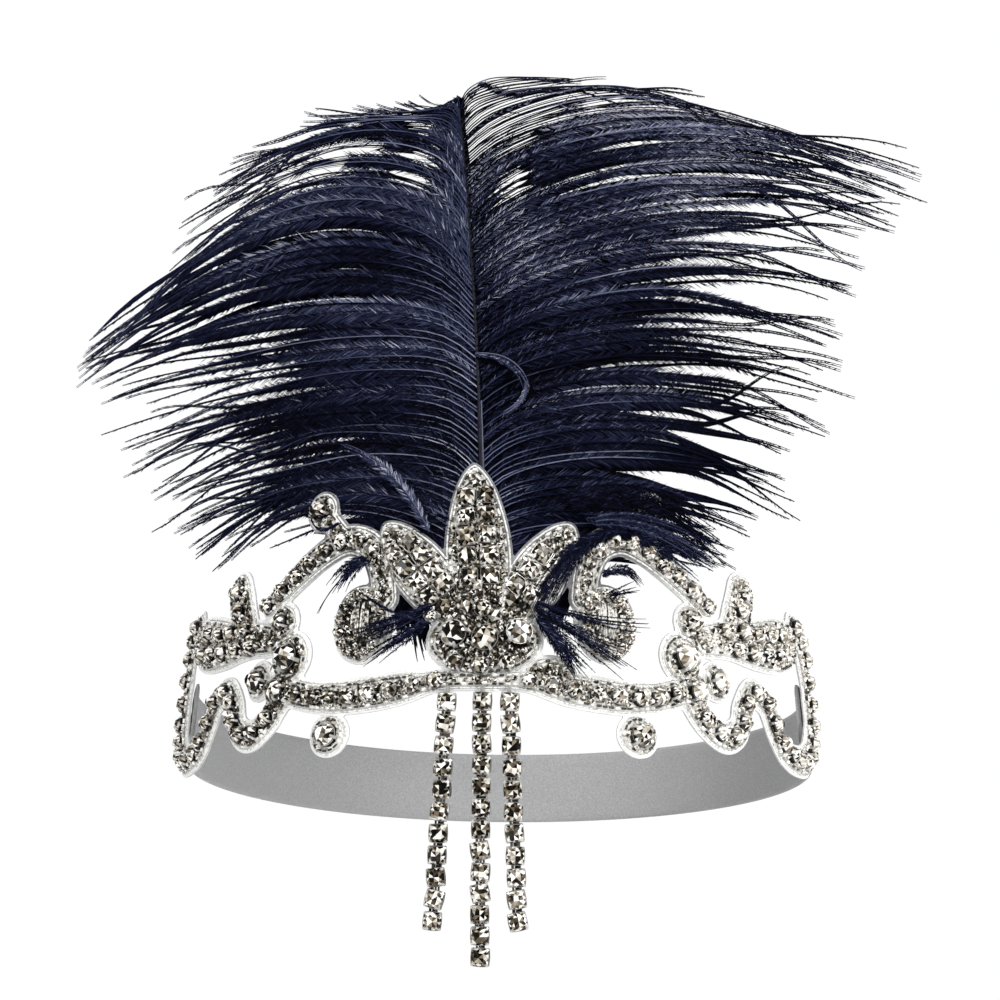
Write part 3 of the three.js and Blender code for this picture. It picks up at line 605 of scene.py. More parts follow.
def painted_side_light(s):
    """How much painted light makes the lace paler at arc s, or painted shade darker where it is below
    zero: darkest left of the middle, palest at its right end.
    """
    return np.interp(s / MM, [-115, -80, -50, 5, 20, 45, 115], [0.6, 0.55, -0.95, -0.2, 0.35, 1.1, 1.3])


def sheet_area(points, faces):
    a, b, c = (points[faces[:, k]] for k in range(3))
    return float(np.linalg.norm(np.cross(b - a, c - a), axis=1).sum() / 2)


BORDER_INSET = 1.55 * MM
THREAD_INSET = 0.75 * MM


def lace_ground():
    """The padding between the borders, which swells towards the middle of the bands."""
    base = NET_INNER + NET_THICK

    def inner(flat):
        return np.full(len(flat), base - 0.1 * MM)

    def outer(flat):
        return base + (GROUND_TOP - base) * smoothstep(0.4 * MM, 2.2 * MM, lace_depth(flat))

    pile = Pile()
    points, faces, flat = sheet_solid(BORDER_INSET - 0.3 * MM, inner, outer, 1.1 * MM)
    centres = np.concatenate([flat, flat])[faces].mean(1)
    # Painted shade: the padding darkens from the border inwards, where it lies in the gaps between the
    # stones.
    tints = 1 - smoothstep(BORDER_INSET + 0.4 * MM, BORDER_INSET + 1.3 * MM, lace_depth(centres))
    # Painted side light raises the padding's shade towards the ends of the lace, most at the right.
    pile.add(points, faces, np.maximum(tints, 0.7 * painted_side_light(centres[:, 0]))[None])
    pile.make("lace_ground", "lace", GROUND, smooth=True)


def border_stretches(level):
    """Open and closed stretches of every motif's border that no other motif covers."""
    for name, (rank, _) in MOTIFS.items():
        others = [depth for other, (high, depth) in MOTIFS.items() if other != name and high >= rank]
        for loop in outlines(DEPTHS[name], level):
            line = resampled(np.vstack([loop, loop[:1]]), 0.5 * MM)
            over = np.max([np.full(len(line), -1.0)] + [depth(line) for depth in others], axis=0)
            covered = over > level + 0.25 * MM
            if not covered.any():
                yield line
                continue
            start = int(np.nonzero(covered)[0][0])
            line, covered = np.roll(line[:-1], -start, 0), np.roll(covered[:-1], -start)
            change = np.flatnonzero(np.diff(np.concatenate([[1], covered.astype(int), [1]])))
            for first, last in zip(change[::2], change[1::2]):
                if last - first > 4:
                    yield line[first:last]


def bead_tints(rng, s):
    """Bright beads with a third to a half of dark ones among them, fewest where the painted side light is
    strongest.
    """
    dark = rng.random(len(s)) < 0.45 - 0.08 * painted_side_light(s)
    return np.where(dark, rng.uniform(0, 0.2, len(s)), rng.uniform(0.55, 1, len(s)))


BUGLE_LENGTH = 1.2 * MM
BUGLE_PITCH = 1.5 * MM
THREAD_RADIUS = 0.26 * MM


def lace_border():
    """Bugle beads and a silver thread along every border."""
    rng = np.random.default_rng(11)
    beads, threads = Pile(), Pile()
    for line in border_stretches(BORDER_INSET):
        middles = resampled(line, BUGLE_PITCH)
        count = len(middles)
        half = unit(np.gradient(middles, axis=0)) * BUGLE_LENGTH / 2 * rng.uniform(0.8, 1.05, (count, 1))
        out = GROUND_TOP + 0.25 * MM + rng.uniform(-0.1, 0.15, count) * MM
        starts = on_head(*(middles - half).T, out)
        ends = on_head(*(middles + half).T, out)
        tints = bead_tints(rng, middles[:, 0])
        thick = np.where(tints < 0.25, rng.uniform(0.27, 0.34, count), rng.uniform(0.34, 0.46, count))
        add_rods(beads, starts, ends, thick * MM, outward_at(middles[:, 0]), tints=tints)
    for line in border_stretches(THREAD_INSET):
        points = resampled(line, 1.1 * MM)
        tube = on_head(points[:, 0], points[:, 1], THREAD_OUT)
        add_tubes(threads, tube[None], THREAD_RADIUS, outward_at(points[:, 0])[None], sides=4)
    beads.make("lace_border_beads", "setting", BEAD, smooth=True)
    threads.make("lace_border_thread", "lace", THREAD, smooth=True)


# Cut stones: table, stars, kites and upper girdle facets over a cup with four claws
STONE_SIDES = 8
SQUARENESS = 0.75


def squared(points, strength):
    """Push the outline of a round form towards a square with round corners."""
    angle = np.arctan2(points[:, 1], points[:, 0])
    side = np.maximum(np.abs(np.cos(angle)), np.abs(np.sin(angle)))
    return points * np.stack([side ** -strength, side ** -strength, side * 0 + 1], -1)


def stone_form():
    """A stone 1 across: its corners, its faces, the facet that each face belongs to, and the facets.
    The corners are rings for the table, kites, girdle, edge and foot, and the table's centre."""
    sides, around = STONE_SIDES, 2 * STONE_SIDES
    crown = 0.36
    points = np.concatenate([
        ring_points(sides, 0.5 * 0.55, crown), ring_points(sides, 0.5 * 0.8, crown * 0.58, 0.5),
        ring_points(around, 0.5, 0.03), ring_points(around, 0.5, -0.06), ring_points(around, 0.28, -0.3),
        [[0, 0, crown]],
    ])
    kites, girdle = sides, 2 * sides
    edge, foot, centre = girdle + around, girdle + 2 * around, girdle + 3 * around
    facets = []
    for i in range(sides):
        j = (i + 1) % sides
        low, high = girdle + 2 * i, girdle + (2 * i + 2) % around
        facets += [
            ((centre, i, j), ("table", i)), ((i, kites + i, j), ("star", i)),
            ((i, low, kites + i), ("kite_right", i)), ((j, kites + i, high), ("kite_left", j)),
            ((kites + i, low, low + 1), ("half_low", i)), ((kites + i, low + 1, high), ("half_high", i)),
        ]
    for i in range(around):
        j = (i + 1) % around
        for upper, lower, key in ((girdle, edge, ("edge", i)), (edge, foot, ("foot", i // 2))):
            facets += [((upper + j, upper + i, lower + i), key), ((upper + j, lower + i, lower + j), key)]
    facets += [((foot, foot + i + 1, foot + i), ("base", 0)) for i in range(1, around - 1)]
    faces, groups = zip(*facets)
    keys = sorted(set(groups))
    return points, np.array(faces), np.array([keys.index(key) for key in groups]), keys


STONE_POINTS, STONE_FACES, STONE_GROUPS, STONE_KEYS = stone_form()

# Cups for a stone 1 across: the section's (radius, height) and each of its faces' tints, painted shade
# that darkens the bottom, outer wall and hollow and leaves the rim light, and the claws' turns in half
# circles and their (radius or None for the rim, height, half width)
CUP_SIDES = 16
CUP_SECTION = [(0.44, -0.3), (0.525, -0.3), (0.54, -0.02), (0.505, -0.02), (0.5, -0.12), (0.44, -0.24)]
CUP_PAINTED_SHADE = [0, 0.04, 0.6, 0.15, 0, 0]
CLAW_PATH = [(None, -0.28, 0.075), (None, 0.03, 0.07), (0.5, 0.13, 0.06), (0.4, 0.17, 0.04)]
CLAW_REACH = 0.56
CLAW_THICK = 0.035
CLAW_TURNS = (0.25, 0.75, 1.25, 1.75)


def cup_form(square=False):
    """A cup up to the girdle, with four claws over the stone's edge."""
    pile = Pile()
    rim = np.ones(CUP_SIDES)
    if square:
        angle = corner_angles(CUP_SIDES)
        rim = 1 / np.maximum(np.abs(np.cos(angle)), np.abs(np.sin(angle))) ** SQUARENESS
    rings = []
    for radius, height in CUP_SECTION:
        ring = ring_points(CUP_SIDES, 1, 0) * [radius, radius, 1]
        ring[:, :2] *= rim[:, None]
        ring[:, 2] = height
        rings.append(ring)
    corners = len(CUP_SECTION) * CUP_SIDES
    faces = stack_faces(len(CUP_SECTION) + 1, CUP_SIDES, closed_ends=False) % corners
    # Painted shade: the cup's bottom, outer wall and hollow take dark tints and only the rim stays light.
    pile.add(np.concatenate(rings), faces, np.repeat([CUP_PAINTED_SHADE], 2 * CUP_SIDES, 1))
    for turn in CLAW_TURNS:
        angle = turn * math.pi
        outward = np.array([math.cos(angle), math.sin(angle), 0])
        aside = np.array([-math.sin(angle), math.cos(angle), 0])
        corners = []
        for radius, height, half in CLAW_PATH:
            middle = outward * (radius or CLAW_REACH * rim.max() ** 0.5) + np.array([0, 0, height])
            push = outward * CLAW_THICK if height < 0.1 else np.array([0, 0, CLAW_THICK])
            corners += [middle - aside * half - push, middle + aside * half - push,
                        middle + aside * half + push, middle - aside * half + push]
        pile.add(np.array(corners), stack_faces(len(CLAW_PATH), 4)[:, ::-1], 0.75)
    return np.concatenate(pile.points), np.concatenate(pile.faces), np.concatenate(pile.tints)


ROUND = (STONE_POINTS, *cup_form())
SQUARE = (squared(STONE_POINTS, SQUARENESS), *cup_form(square=True))


def painted_facet_glints(rng, shape, jitter, pale):
    """Painted reflections of cut glass, (stones, facets): dark facets among bright glints, paler or
    darker with the painted side light.
    """
    shades = rng.beta(0.55, 0.6, shape)
    shades = np.clip(shades + rng.uniform(-jitter, jitter, (shape[0], 1)), 0, 1)
    return shades ** (1 - 0.55 * np.broadcast_to(pale, shape[0])[:, None])


def facet_glints_and_shade(rng, count, pale=0.0):
    """Painted reflections for every face of every stone, with painted shade on the sides and backs."""
    shades = painted_facet_glints(rng, (count, len(STONE_KEYS)), 0.12, pale)
    # Painted shade: the facets of the girdle's edge, the foot and the base are made dark.
    for place, (kind, _) in enumerate(STONE_KEYS):
        if kind in ("edge", "foot", "base"):
            shades[:, place] *= 0.15
    return shades[:, STONE_GROUPS]


STONES_AT = []


class StoneField:
    """Stones with their cups, placed on the head by (s, h), which STONES_AT notes with the radius."""

    def __init__(self, seed):
        self.rng = np.random.default_rng(seed)
        self.stones, self.cups = Pile(), Pile()

    def add(self, s, h, size, out=GIRDLE, form=ROUND, turn=0.0):
        s, h = np.atleast_1d(s).astype(float), np.atleast_1d(h).astype(float)
        count = len(s)
        size = np.broadcast_to(size, s.shape)
        STONES_AT.append(np.stack([s, h, size / 2], -1))
        rng = self.rng
        middles = on_head(s, h, out + rng.uniform(-0.1, 0.15, count) * MM)
        along, up, outward = head_axes(s)
        lean = rng.normal(0, 0.07, (count, 2))
        outward = unit(outward + along * lean[:, :1] + up * lean[:, 1:])
        along = unit(np.cross(up, outward))
        axes = (along, np.cross(outward, along), outward)
        spins = rng.uniform(0, 2 * math.pi, count) if form is ROUND else turn + rng.normal(0, 0.08, count)
        stones, cups, cup_faces, cup_shade = form
        # Painted reflections on the facets, paler towards the right end and darker left of the middle
        # with painted side light.
        self.stones.add(placed(stones, middles, axes, size * 0.98, spins), STONE_FACES,
                        facet_glints_and_shade(rng, count, painted_side_light(s)))
        # Cups with painted shade on their walls and in their hollows.
        self.cups.add(placed(cups, middles, axes, size * 0.97, spins), cup_faces, cup_shade[None])

    def make(self, name, nodes):
        stones = self.stones.make(f"{name}_stones", "stone", STONE)
        self.cups.make(f"{name}_cups", "setting", METAL)
        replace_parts(stones, *nodes)


def row_places(layout, side):
    """Where the stones of a row stand, (stones, 2)."""
    band, first, last, stagger, spacing = layout
    line = smooth_line(chart(band, side)[:, :2], 0.1 * MM)
    length = line_lengths(line)
    count = max(1, round((last - first) * length[-1] / (spacing * ROW_PITCH)))
    at = np.linspace(first, last, count + 1) * length[-1]
    spots = np.stack([np.interp(at, length, line[:, k]) for k in (0, 1)], -1)
    run = unit(np.gradient(spots, axis=0))
    off = stagger * ROW_STONE * np.where(np.arange(count + 1) % 2 == 0, 1, -1)
    return spots + np.stack([-run[:, 1], run[:, 0]], -1) * off[:, None]


def oval_line(side, inset, count):
    """Even angles along the oval's edge, moved inwards."""
    angle = corner_angles(count)
    middle = np.array([side * OVAL["along"], OVAL["up"]]) * CHART_SCALE
    half = np.array([OVAL["half_along"], OVAL["half_up"]]) * CHART_SCALE - inset
    return middle + half * np.stack([np.cos(angle), np.sin(angle)], -1)


ROW_NODES = tuple(f"stones_{row}_" for row in (*ROWS, "oval"))
MAIN_NODES = ("bud_stone_", "drop_stone_", "tip_stone_", "lobe_stone_")
OVAL_STONES = 15


def petal_stones():
    """Pairs of square stones along each petal."""
    field = StoneField(21)
    for root, tip, _, pairs in PETALS.values():
        root, run = root * CHART_SCALE, (np.array(tip) - root) * CHART_SCALE
        aside = unit(np.array([-run[1], run[0]])) * (PETAL_STONE / 2 + 0.3 * MM)
        for share in pairs:
            for way in (-1, 1):
                spot = root + run * share + aside * way + field.rng.normal(0, 0.15 * MM, 2)
                field.add(*spot, PETAL_STONE * field.rng.uniform(0.96, 1.08), form=SQUARE,
                          turn=math.atan2(run[1], run[0]))
    field.make("petal", node_names("stones_petal_"))


def make_stones():
    """Stones of the petals, the heart, the rows and the rounds."""
    petal_stones()
    heart = StoneField(22)
    for *place, share in HEART_STONES:
        heart.add(*(place * CHART_SCALE), share * MAIN_STONE * 1.04, GIRDLE + share * MM)
    heart.make("heart", node_names("heart_stone_"))
    for index, (side_name, side) in enumerate(SIDES.items()):
        rows = StoneField(31 + index)
        for layout in ROWS.values():
            spots = row_places(layout, side)
            rows.add(*spots.T, ROW_STONE * rows.rng.uniform(0.93, 1.06, len(spots)))
        oval = oval_line(side, 0.35 * MM + ROW_STONE / 2, OVAL_STONES)
        rows.add(*oval.T, 0.66 * ROW_STONE * rows.rng.uniform(0.85, 1.15, OVAL_STONES))
        rows.make(f"rows_{side_name}", node_names(ROW_NODES, side_name))
        mains = StoneField(41 + index)
        for along, up, _, share in ROUNDS.values():
            place = np.array([side * along, up]) * CHART_SCALE
            mains.add(*place, share * MAIN_STONE, GIRDLE + 0.3 * MM)
        mains.make(f"mains_{side_name}", node_names(MAIN_NODES, side_name))


# Small cut beads that fill the ground between the stones, with the large ones of the flower as
# (s, h, size) in mm, and satin stitches in the ovals, placed by shares of the half width
CHIP_RINGS = ((0.42, -0.3, 0), (0.5, 0.08, 0.5), (0.24, 0.38, 0))
CHIP = np.concatenate([ring_points(5, *ring) for ring in CHIP_RINGS])
CHIP_FACES = stack_faces(3, 5)
CHIP_GAP = 1.3 * MM
CHIP_TRIES = 60000
LARGE_CHIPS = np.array([
    (-3.5, 15.5, 3.7), (2.6, 13.2, 3.5), (6.7, 16.8, 3.6), (-8.9, 15.6, 3.4), (11.2, 15.2, 3.5),
    (-1.4, 20.6, 3.2), (-2.5, 9.5, 2.8), (6.5, 10.8, 3), (-11.5, 21, 2.8),
]) * MM
SATIN_PLACES = np.array([-0.86, -0.64, -0.42, -0.22, 0.12, 0.34, 0.56, 0.78])
SATIN_HALF_WIDTH = 2.5 * MM
SATIN_HALF_HEIGHT = 4.3 * MM
SATIN_RAISED = 1 * MM


def satin_middle(side):
    return side * OVAL["along"] * LACE_HALF_LENGTH, OVAL["up"] * LACE_RISE + SATIN_RAISED


def free_spots(rng):
    """Random spots on the ground, clear of the stones, the satin and the large chips."""
    spots = np.stack([rng.uniform(grid[0], grid[-1], CHIP_TRIES) for grid in (GRID_S, GRID_H)], -1)
    free = lace_depth(spots) > BORDER_INSET + 0.7 * MM
    for s, h, radius in np.concatenate(STONES_AT):
        free &= np.hypot(spots[:, 0] - s, spots[:, 1] - h) > radius + 0.3 * MM
    for side in SIDES.values():
        s, h = satin_middle(side)
        satin = np.hypot((spots[:, 0] - s) / SATIN_HALF_WIDTH, (spots[:, 1] - h) / SATIN_HALF_HEIGHT)
        free &= satin > 1.15
    for s, h, size in LARGE_CHIPS:
        free &= np.hypot(spots[:, 0] - s, spots[:, 1] - h) > size / 2 + 0.5 * MM
    return spots[free]


def seed_beads():
    rng = np.random.default_rng(81)
    spots = free_spots(rng)
    kept = spots[:1]
    for spot in spots:
        if np.min(np.hypot(*(kept - spot).T)) > CHIP_GAP:
            kept = np.vstack([kept, spot])
    sizes = np.concatenate([rng.uniform(1.3, 2, len(kept)) * MM, LARGE_CHIPS[:, 2]])
    kept = np.vstack([kept, LARGE_CHIPS[:, :2]])
    count = len(kept)
    middles = on_head(*kept.T, GROUND_TOP + rng.uniform(0.1, 0.5, count) * MM)
    # Painted glints on the chips' facets, paler towards the right end and darker left of the middle with
    # painted side light.
    shades = painted_facet_glints(rng, (count, len(CHIP_FACES)), 0.15, painted_side_light(kept[:, 0]))
    turns = rng.uniform(0, 2 * math.pi, count)
    pile = Pile()
    pile.add(placed(CHIP, middles, head_axes(kept[:, 0]), sizes, turns), CHIP_FACES, shades)
    pile.make("lace_seed_beads", "setting", STONE)


def satin_stitches():
    rng = np.random.default_rng(82)
    pile = Pile()
    count = len(SATIN_PLACES)
    u = np.linspace(-1, 1, 9)[None]
    for side in SIDES.values():
        s, h = satin_middle(side)
        tall = SATIN_HALF_HEIGHT * np.sqrt(1 - SATIN_PLACES ** 2) * rng.uniform(0.88, 1.05, count)
        along = s + SATIN_PLACES[:, None] * SATIN_HALF_WIDTH + rng.normal(0, 0.08 * MM, (count, 1)) * u
        out = GROUND_TOP + 0.2 * MM + 0.5 * MM * np.sqrt(1.05 - u ** 2) * np.ones((count, 1))
        lines = on_head(along, h + tall[:, None] * u, out)
        radius = np.interp(np.abs(u), [0, 0.7, 1], [0.3, 0.28, 0.12]) * MM
        # Painted side light: the stitches are darker with painted shade on the left oval and paler on the
        # right.
        tints = 0.68 + 0.25 * painted_side_light(s) + rng.uniform(-0.15, 0.15, count)
        add_tubes(pile, lines, radius, outward_at(along), sides=5, tints=tints)
    pile.make("oval_satin", "lace", GROUND, smooth=True)


# Hanging chains: place in spacings, number of stones, splay in degrees, how close the stones stand
CHAINS = {"left": (-1.08, 11, 3.6, 1), "centre": (0.03, 13, 0.6, 0.97), "right": (0.9, 11, -1.9, 1)}
CHAIN_OUT = 1.75 * MM
LINK_BACK = 0.6 * MM
WIRES_ASIDE = (-0.75, 0.1, 0.8)
PLATE_BACKS = (1.32 * MM, 1.1 * MM)


def hanging_chain(name, place, count, splay, closeness, seed):
    """A strand of square stones in cups, hung from a hook at the bar's foot."""
    rng = np.random.default_rng(seed)
    s = place * CHAIN_SPACING
    top = on_head(s, BAR[0][1] * LACE_RISE - BAR[0][2] * BAND_WIDTH / 2, CHAIN_FRONT)
    _, outward = ring_at(s)
    turn, splay = math.atan2(outward[0], -outward[1]), splay * DEGREE

    def oriented(x, y, z):
        x, y = x * math.cos(turn) - y * math.sin(turn), x * math.sin(turn) + y * math.cos(turn)
        x, z = x * math.cos(splay) + z * math.sin(splay), z * math.cos(splay) - x * math.sin(splay)
        return np.array([x, y, z])

    across, front, down = oriented(1, 0, 0), oriented(0, -1, 0), oriented(0, 0, -1)
    steps = CHAIN_PITCH * closeness * (np.arange(count) + 0.5)
    wander = np.cumsum(rng.normal(0, 0.05 * MM, count)) * np.linspace(0, 1, count)
    middles = top + steps[:, None] * down + wander[:, None] * across + front * CHAIN_OUT
    twist = rng.normal(0, 0.1, count)
    rise = rng.normal(0, 0.05, count)
    normal = unit(front + across * twist[:, None] + down * rise[:, None])
    along = unit(np.cross(-down, normal))
    axes = (along, np.cross(normal, along), normal)
    stones, metal = Pile(), Pile()
    spins = rng.normal(0, 0.08, count)
    size = CHAIN_STONE * 1.19
    corners, cups, cup_faces, cup_shade = SQUARE
    # Painted reflections on the facets, and painted shade on the cups' walls and hollows.
    stones.add(placed(corners, middles, axes, size, spins), STONE_FACES, facet_glints_and_shade(rng, count))
    metal.add(placed(cups, middles, axes, size, spins), cup_faces, cup_shade[None])
    back = middles - normal * LINK_BACK
    hook = top + front * 0.9 * MM - down * 1.2 * MM
    add_rods(metal, hook[None], back[:1], 0.5 * MM, across, 5, ROD, 0.7)
    for aside in WIRES_ASIDE:
        shift = across * aside * MM
        thick = rng.uniform(0.25, 0.5, count - 1) * MM
        tints = rng.uniform(0, 0.35, count - 1)
        add_rods(metal, back[:-1] + shift, back[1:] + shift, thick, across, 5, ROD, tints)
    rear, fore = (middles - normal * depth for depth in PLATE_BACKS)
    add_rods(metal, rear, fore, 0.5 * size, across, 8, PLATE, 0.62)
    gems = stones.make(f"chain_{name}_stones", "stone", STONE)
    metal.make(f"chain_{name}_cups", "setting", METAL)
    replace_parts(gems, f"chain_{name}")


# The elastic round the back, with ribs along it
ELASTIC_STATIONS = 160
ELASTIC_ACROSS = 20
ELASTIC_RIBS = 7
RIB_HEIGHT = 0.05 * MM


def elastic():
    """One closed strip, from one end of the lace round the back to the other."""
    half_round = ARC[-1]
    s = np.linspace(ELASTIC_START, 2 * half_round - ELASTIC_START, ELASTIC_STATIONS)
    s = np.where(s > half_round, s - 2 * half_round, s)[:, None]
    u = np.linspace(-1, 1, ELASTIC_ACROSS)[None]
    h = u * ELASTIC_WIDTH / 2 + np.zeros((ELASTIC_STATIONS, 1))
    middle = ELASTIC_THICK / 2
    half = middle * (1 - 0.55 * np.abs(u) ** 10)
    ribs = RIB_HEIGHT * np.cos(u * 2 * ELASTIC_RIBS * math.pi)
    outer = on_head(s, h, middle + half + ribs - RIB_HEIGHT)
    inner = on_head(s, h, middle - half + 0.02 * MM)
    sides = 2 * ELASTIC_ACROSS
    faces = [stack_faces(ELASTIC_STATIONS, sides, closed_ends=False)]
    k = np.arange(ELASTIC_ACROSS - 1)
    cap = np.stack([k, k + 1, sides - 2 - k, k, sides - 2 - k, sides - 1 - k], -1).reshape(-1, 3)
    faces += [cap, cap[:, ::-1] + (ELASTIC_STATIONS - 1) * sides]
    pile = Pile()
    pile.add(np.concatenate([outer, inner[:, ::-1]], 1).reshape(-1, 3), np.concatenate(faces))
    piece = pile.make("elastic_weave", "elastic", ELASTIC, smooth=True)
    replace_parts(piece, "elastic_band")


# The plume: quill, and locks of barbs by their charts. Columns: where a lock leaves the quill, as a
# share of its height; the share of the half width that its tip reaches, and the tip's height; the
# same two for the bend between; how closely its barbs gather; and how many barbs it has
LOCKS = {
    "left": np.array([
        (0.04, 0.12, 0.108, 0.06, 0.105, 0.2, 6), (0.1, 0.35, 0.225, 0.22, 0.232, 0.3, 5),
        (0.16, 0.70, 0.185, 0.32, 0.417, 0.5, 6), (0.22, 0.73, 0.203, 0.37, 0.419, 0.8, 8),
        (0.27, 0.78, 0.234, 0.33, 0.421, 0.7, 6), (0.32, 0.80, 0.278, 0.37, 0.498, 0.35, 5),
        (0.38, 0.88, 0.334, 0.43, 0.523, 0.75, 6), (0.435, 0.92, 0.380, 0.46, 0.552, 0.6, 5),
        (0.49, 0.97, 0.445, 0.48, 0.601, 0.4, 5), (0.55, 1.02, 0.498, 0.48, 0.706, 0.65, 6),
        (0.61, 1.01, 0.517, 0.48, 0.856, 0.85, 7), (0.67, 0.98, 0.551, 0.46, 0.972, 0.8, 7),
        (0.725, 0.79, 0.696, 0.39, 0.972, 0.35, 4), (0.77, 0.74, 0.744, 0.35, 1.000, 0.35, 4),
        (0.81, 0.68, 0.801, 0.33, 1.018, 0.45, 4), (0.85, 0.65, 0.828, 0.32, 1.025, 0.55, 5),
        (0.89, 0.63, 0.881, 0.26, 1.004, 0.4, 5), (0.925, 0.46, 0.955, 0.22, 0.983, 0.35, 5),
        (0.945, 0.26, 0.959, 0.14, 0.975, 0.3, 3), (0.955, 0.17, 0.976, 0.1, 0.986, 0.3, 4),
    ]),
    "right": np.array([
        (0.04, 0.12, 0.105, 0.04, 0.102, 0.3, 6), (0.1, 0.29, 0.161, 0.13, 0.179, 0.4, 5),
        (0.15, 0.53, 0.159, 0.17, 0.265, 0.6, 6), (0.2, 0.59, 0.190, 0.22, 0.324, 0.65, 6),
        (0.25, 0.64, 0.238, 0.25, 0.380, 0.5, 5), (0.3, 0.69, 0.294, 0.28, 0.435, 0.45, 5),
        (0.35, 0.73, 0.352, 0.32, 0.493, 0.55, 5), (0.4, 0.78, 0.423, 0.36, 0.549, 0.4, 5),
        (0.45, 0.83, 0.494, 0.38, 0.610, 0.55, 5), (0.51, 0.87, 0.578, 0.39, 0.685, 0.4, 5),
        (0.565, 0.88, 0.653, 0.42, 0.768, 0.5, 5), (0.62, 0.90, 0.726, 0.42, 0.832, 0.45, 5),
        (0.68, 0.91, 0.775, 0.40, 0.908, 0.5, 6), (0.73, 0.98, 0.808, 0.39, 0.970, 0.7, 6),
        (0.79, 1.04, 0.838, 0.38, 1.038, 0.8, 7), (0.84, 0.92, 0.869, 0.37, 1.057, 0.6, 6),
        (0.875, 0.65, 0.930, 0.36, 1.061, 0.4, 4), (0.905, 0.51, 0.975, 0.24, 1.05, 0.45, 4),
        (0.93, 0.39, 0.987, 0.11, 1.033, 0.2, 3), (0.945, 0.26, 0.998, 0, 1.022, 0.15, 3),
        (0.955, 0.13, 1.014, -0.04, 1.04, 0.15, 4),
    ]),
}
LEAVES, REACH, TIP, BEND_REACH, ARCH, GATHER, BARBS = range(7)

# The quill: its foot behind the lace, its end, its curl backwards and its bend to the left
QUILL_ROOT = on_head(0, BAND_WIDTH / 4, LACE_INNER - 0.3 * MM - 0.95 * MM)
QUILL_END = 0.925
CURL_FROM = 0.6
CURL = 0.37
QUILL_ASIDE = 0.06
PLUME_FRONT = unit(np.array([0, -1, PLUME_LEAN]))

# The barbs: how they follow the head backwards, their hooked roots, and how far the longest reach
STRAIGHT_FROM = 0.74
SPREAD_SLOPE = 0.8
FREE_HUG = 0.4
BARB_STATIONS = 24
HOOK = 1 * MM
FURTHEST = 1.06

# What the two sides of the plume don't share: how far the roots are lifted, in plume heights; the
# pull to the middle of a lock, low and high; where the webs reach further towards the tips, from and
# to along the quill, and how much; how far in front of the hairs the shafts lie, in mm, and their
# width; the shafts' painted highlight near the quill, from where each second one is dark, partly its
# own dark and partly painted shadow, the share with a painted glint far out, and the shade of their
# tips; the hairs' shades, their painted sheen and how much shorter the high ones are; and the shade
# of the webs' far ends
PLUME_SIDES = {
    "left": {
        "lift": 0.032, "pull": (0.56, 0.56), "dense": (0.5, 0.7, 1.45), "before": 0.4, "width": 1.0,
        "near": [0.88, 0.9, 0.84, 0.72, 0.6], "shadow_from": 1, "light": 0.35, "tips": 0.57,
        "hairs": [0.3, 0.38, 0.48, 0.51, 0.52, 0.55], "sheen": [0, 0, 0, 0, 0], "shorter": 0,
        "web": 0.56,
    },
    "right": {
        "lift": 0.014, "pull": (0.42, 0.5), "dense": (0, 0.38, 1.9), "before": 0.85, "width": 1.2,
        "near": [0.84, 0.82, 0.45, 0.3, 0.3], "shadow_from": 0.35, "light": 0.16, "tips": 0.3,
        "hairs": [0.22, 0.36, 0.57, 0.65, 0.9, 0.95], "sheen": [0, 0.03, 0.24, 0.2, 0.05],
        "shorter": 0.25, "web": 0.36,
    },
}

# Shares of the quill that the rows of shades belong to, and where the low barbs end
NEAR_AT = [0, 0.3, 0.55, 0.8, 1]
HAIRS_AT = [0, 0.35, 0.6, 0.78, 0.86, 1]
SHEEN_AT = [0.5, 0.62, 0.74, 0.84, 0.9]
LOW_BELOW = 0.48


def quill_at(up):
    """Points of the quill at shares of its height."""
    curl = CURL * np.maximum(0, up - CURL_FROM) ** 2
    return np.stack([
        QUILL_ROOT[0] - QUILL_ASIDE * PLUME_HEIGHT * up ** 2,
        QUILL_ROOT[1] + PLUME_HEIGHT * (up * PLUME_LEAN + curl),
        QUILL_ROOT[2] + PLUME_HEIGHT * up,
    ], -1)


def head_curve(x):
    """How far back the plume lies at x, where it follows the head, and straight on beside it."""
    shrink = 1.1 * LACE_RISE * CROWN_TAPER
    half_width, half_depth = HEAD_HALF_WIDTH - shrink, HEAD_HALF_DEPTH - shrink
    share = np.minimum(np.abs(x) / half_width, STRAIGHT_FROM)
    curved = half_depth * (1 - np.sqrt(1 - share ** 2)) / math.cos(RING_TILT)
    return curved + (np.abs(x) - share * half_width) * SPREAD_SLOPE


def bezier(start, bend, end, u):
    return (1 - u) ** 2 * start[:, None] + 2 * u * (1 - u) * bend[:, None] + u ** 2 * end[:, None]


def gathered(values, group, amount):
    """Values of each barb, (barbs, stations), drawn towards the mean of its group."""
    means = np.zeros((group.max() + 1, BARB_STATIONS))
    np.add.at(means, group, values)
    means /= np.maximum(np.bincount(group, minlength=group.max() + 1), 1)[:, None]
    return values + (means[group] - values) * amount


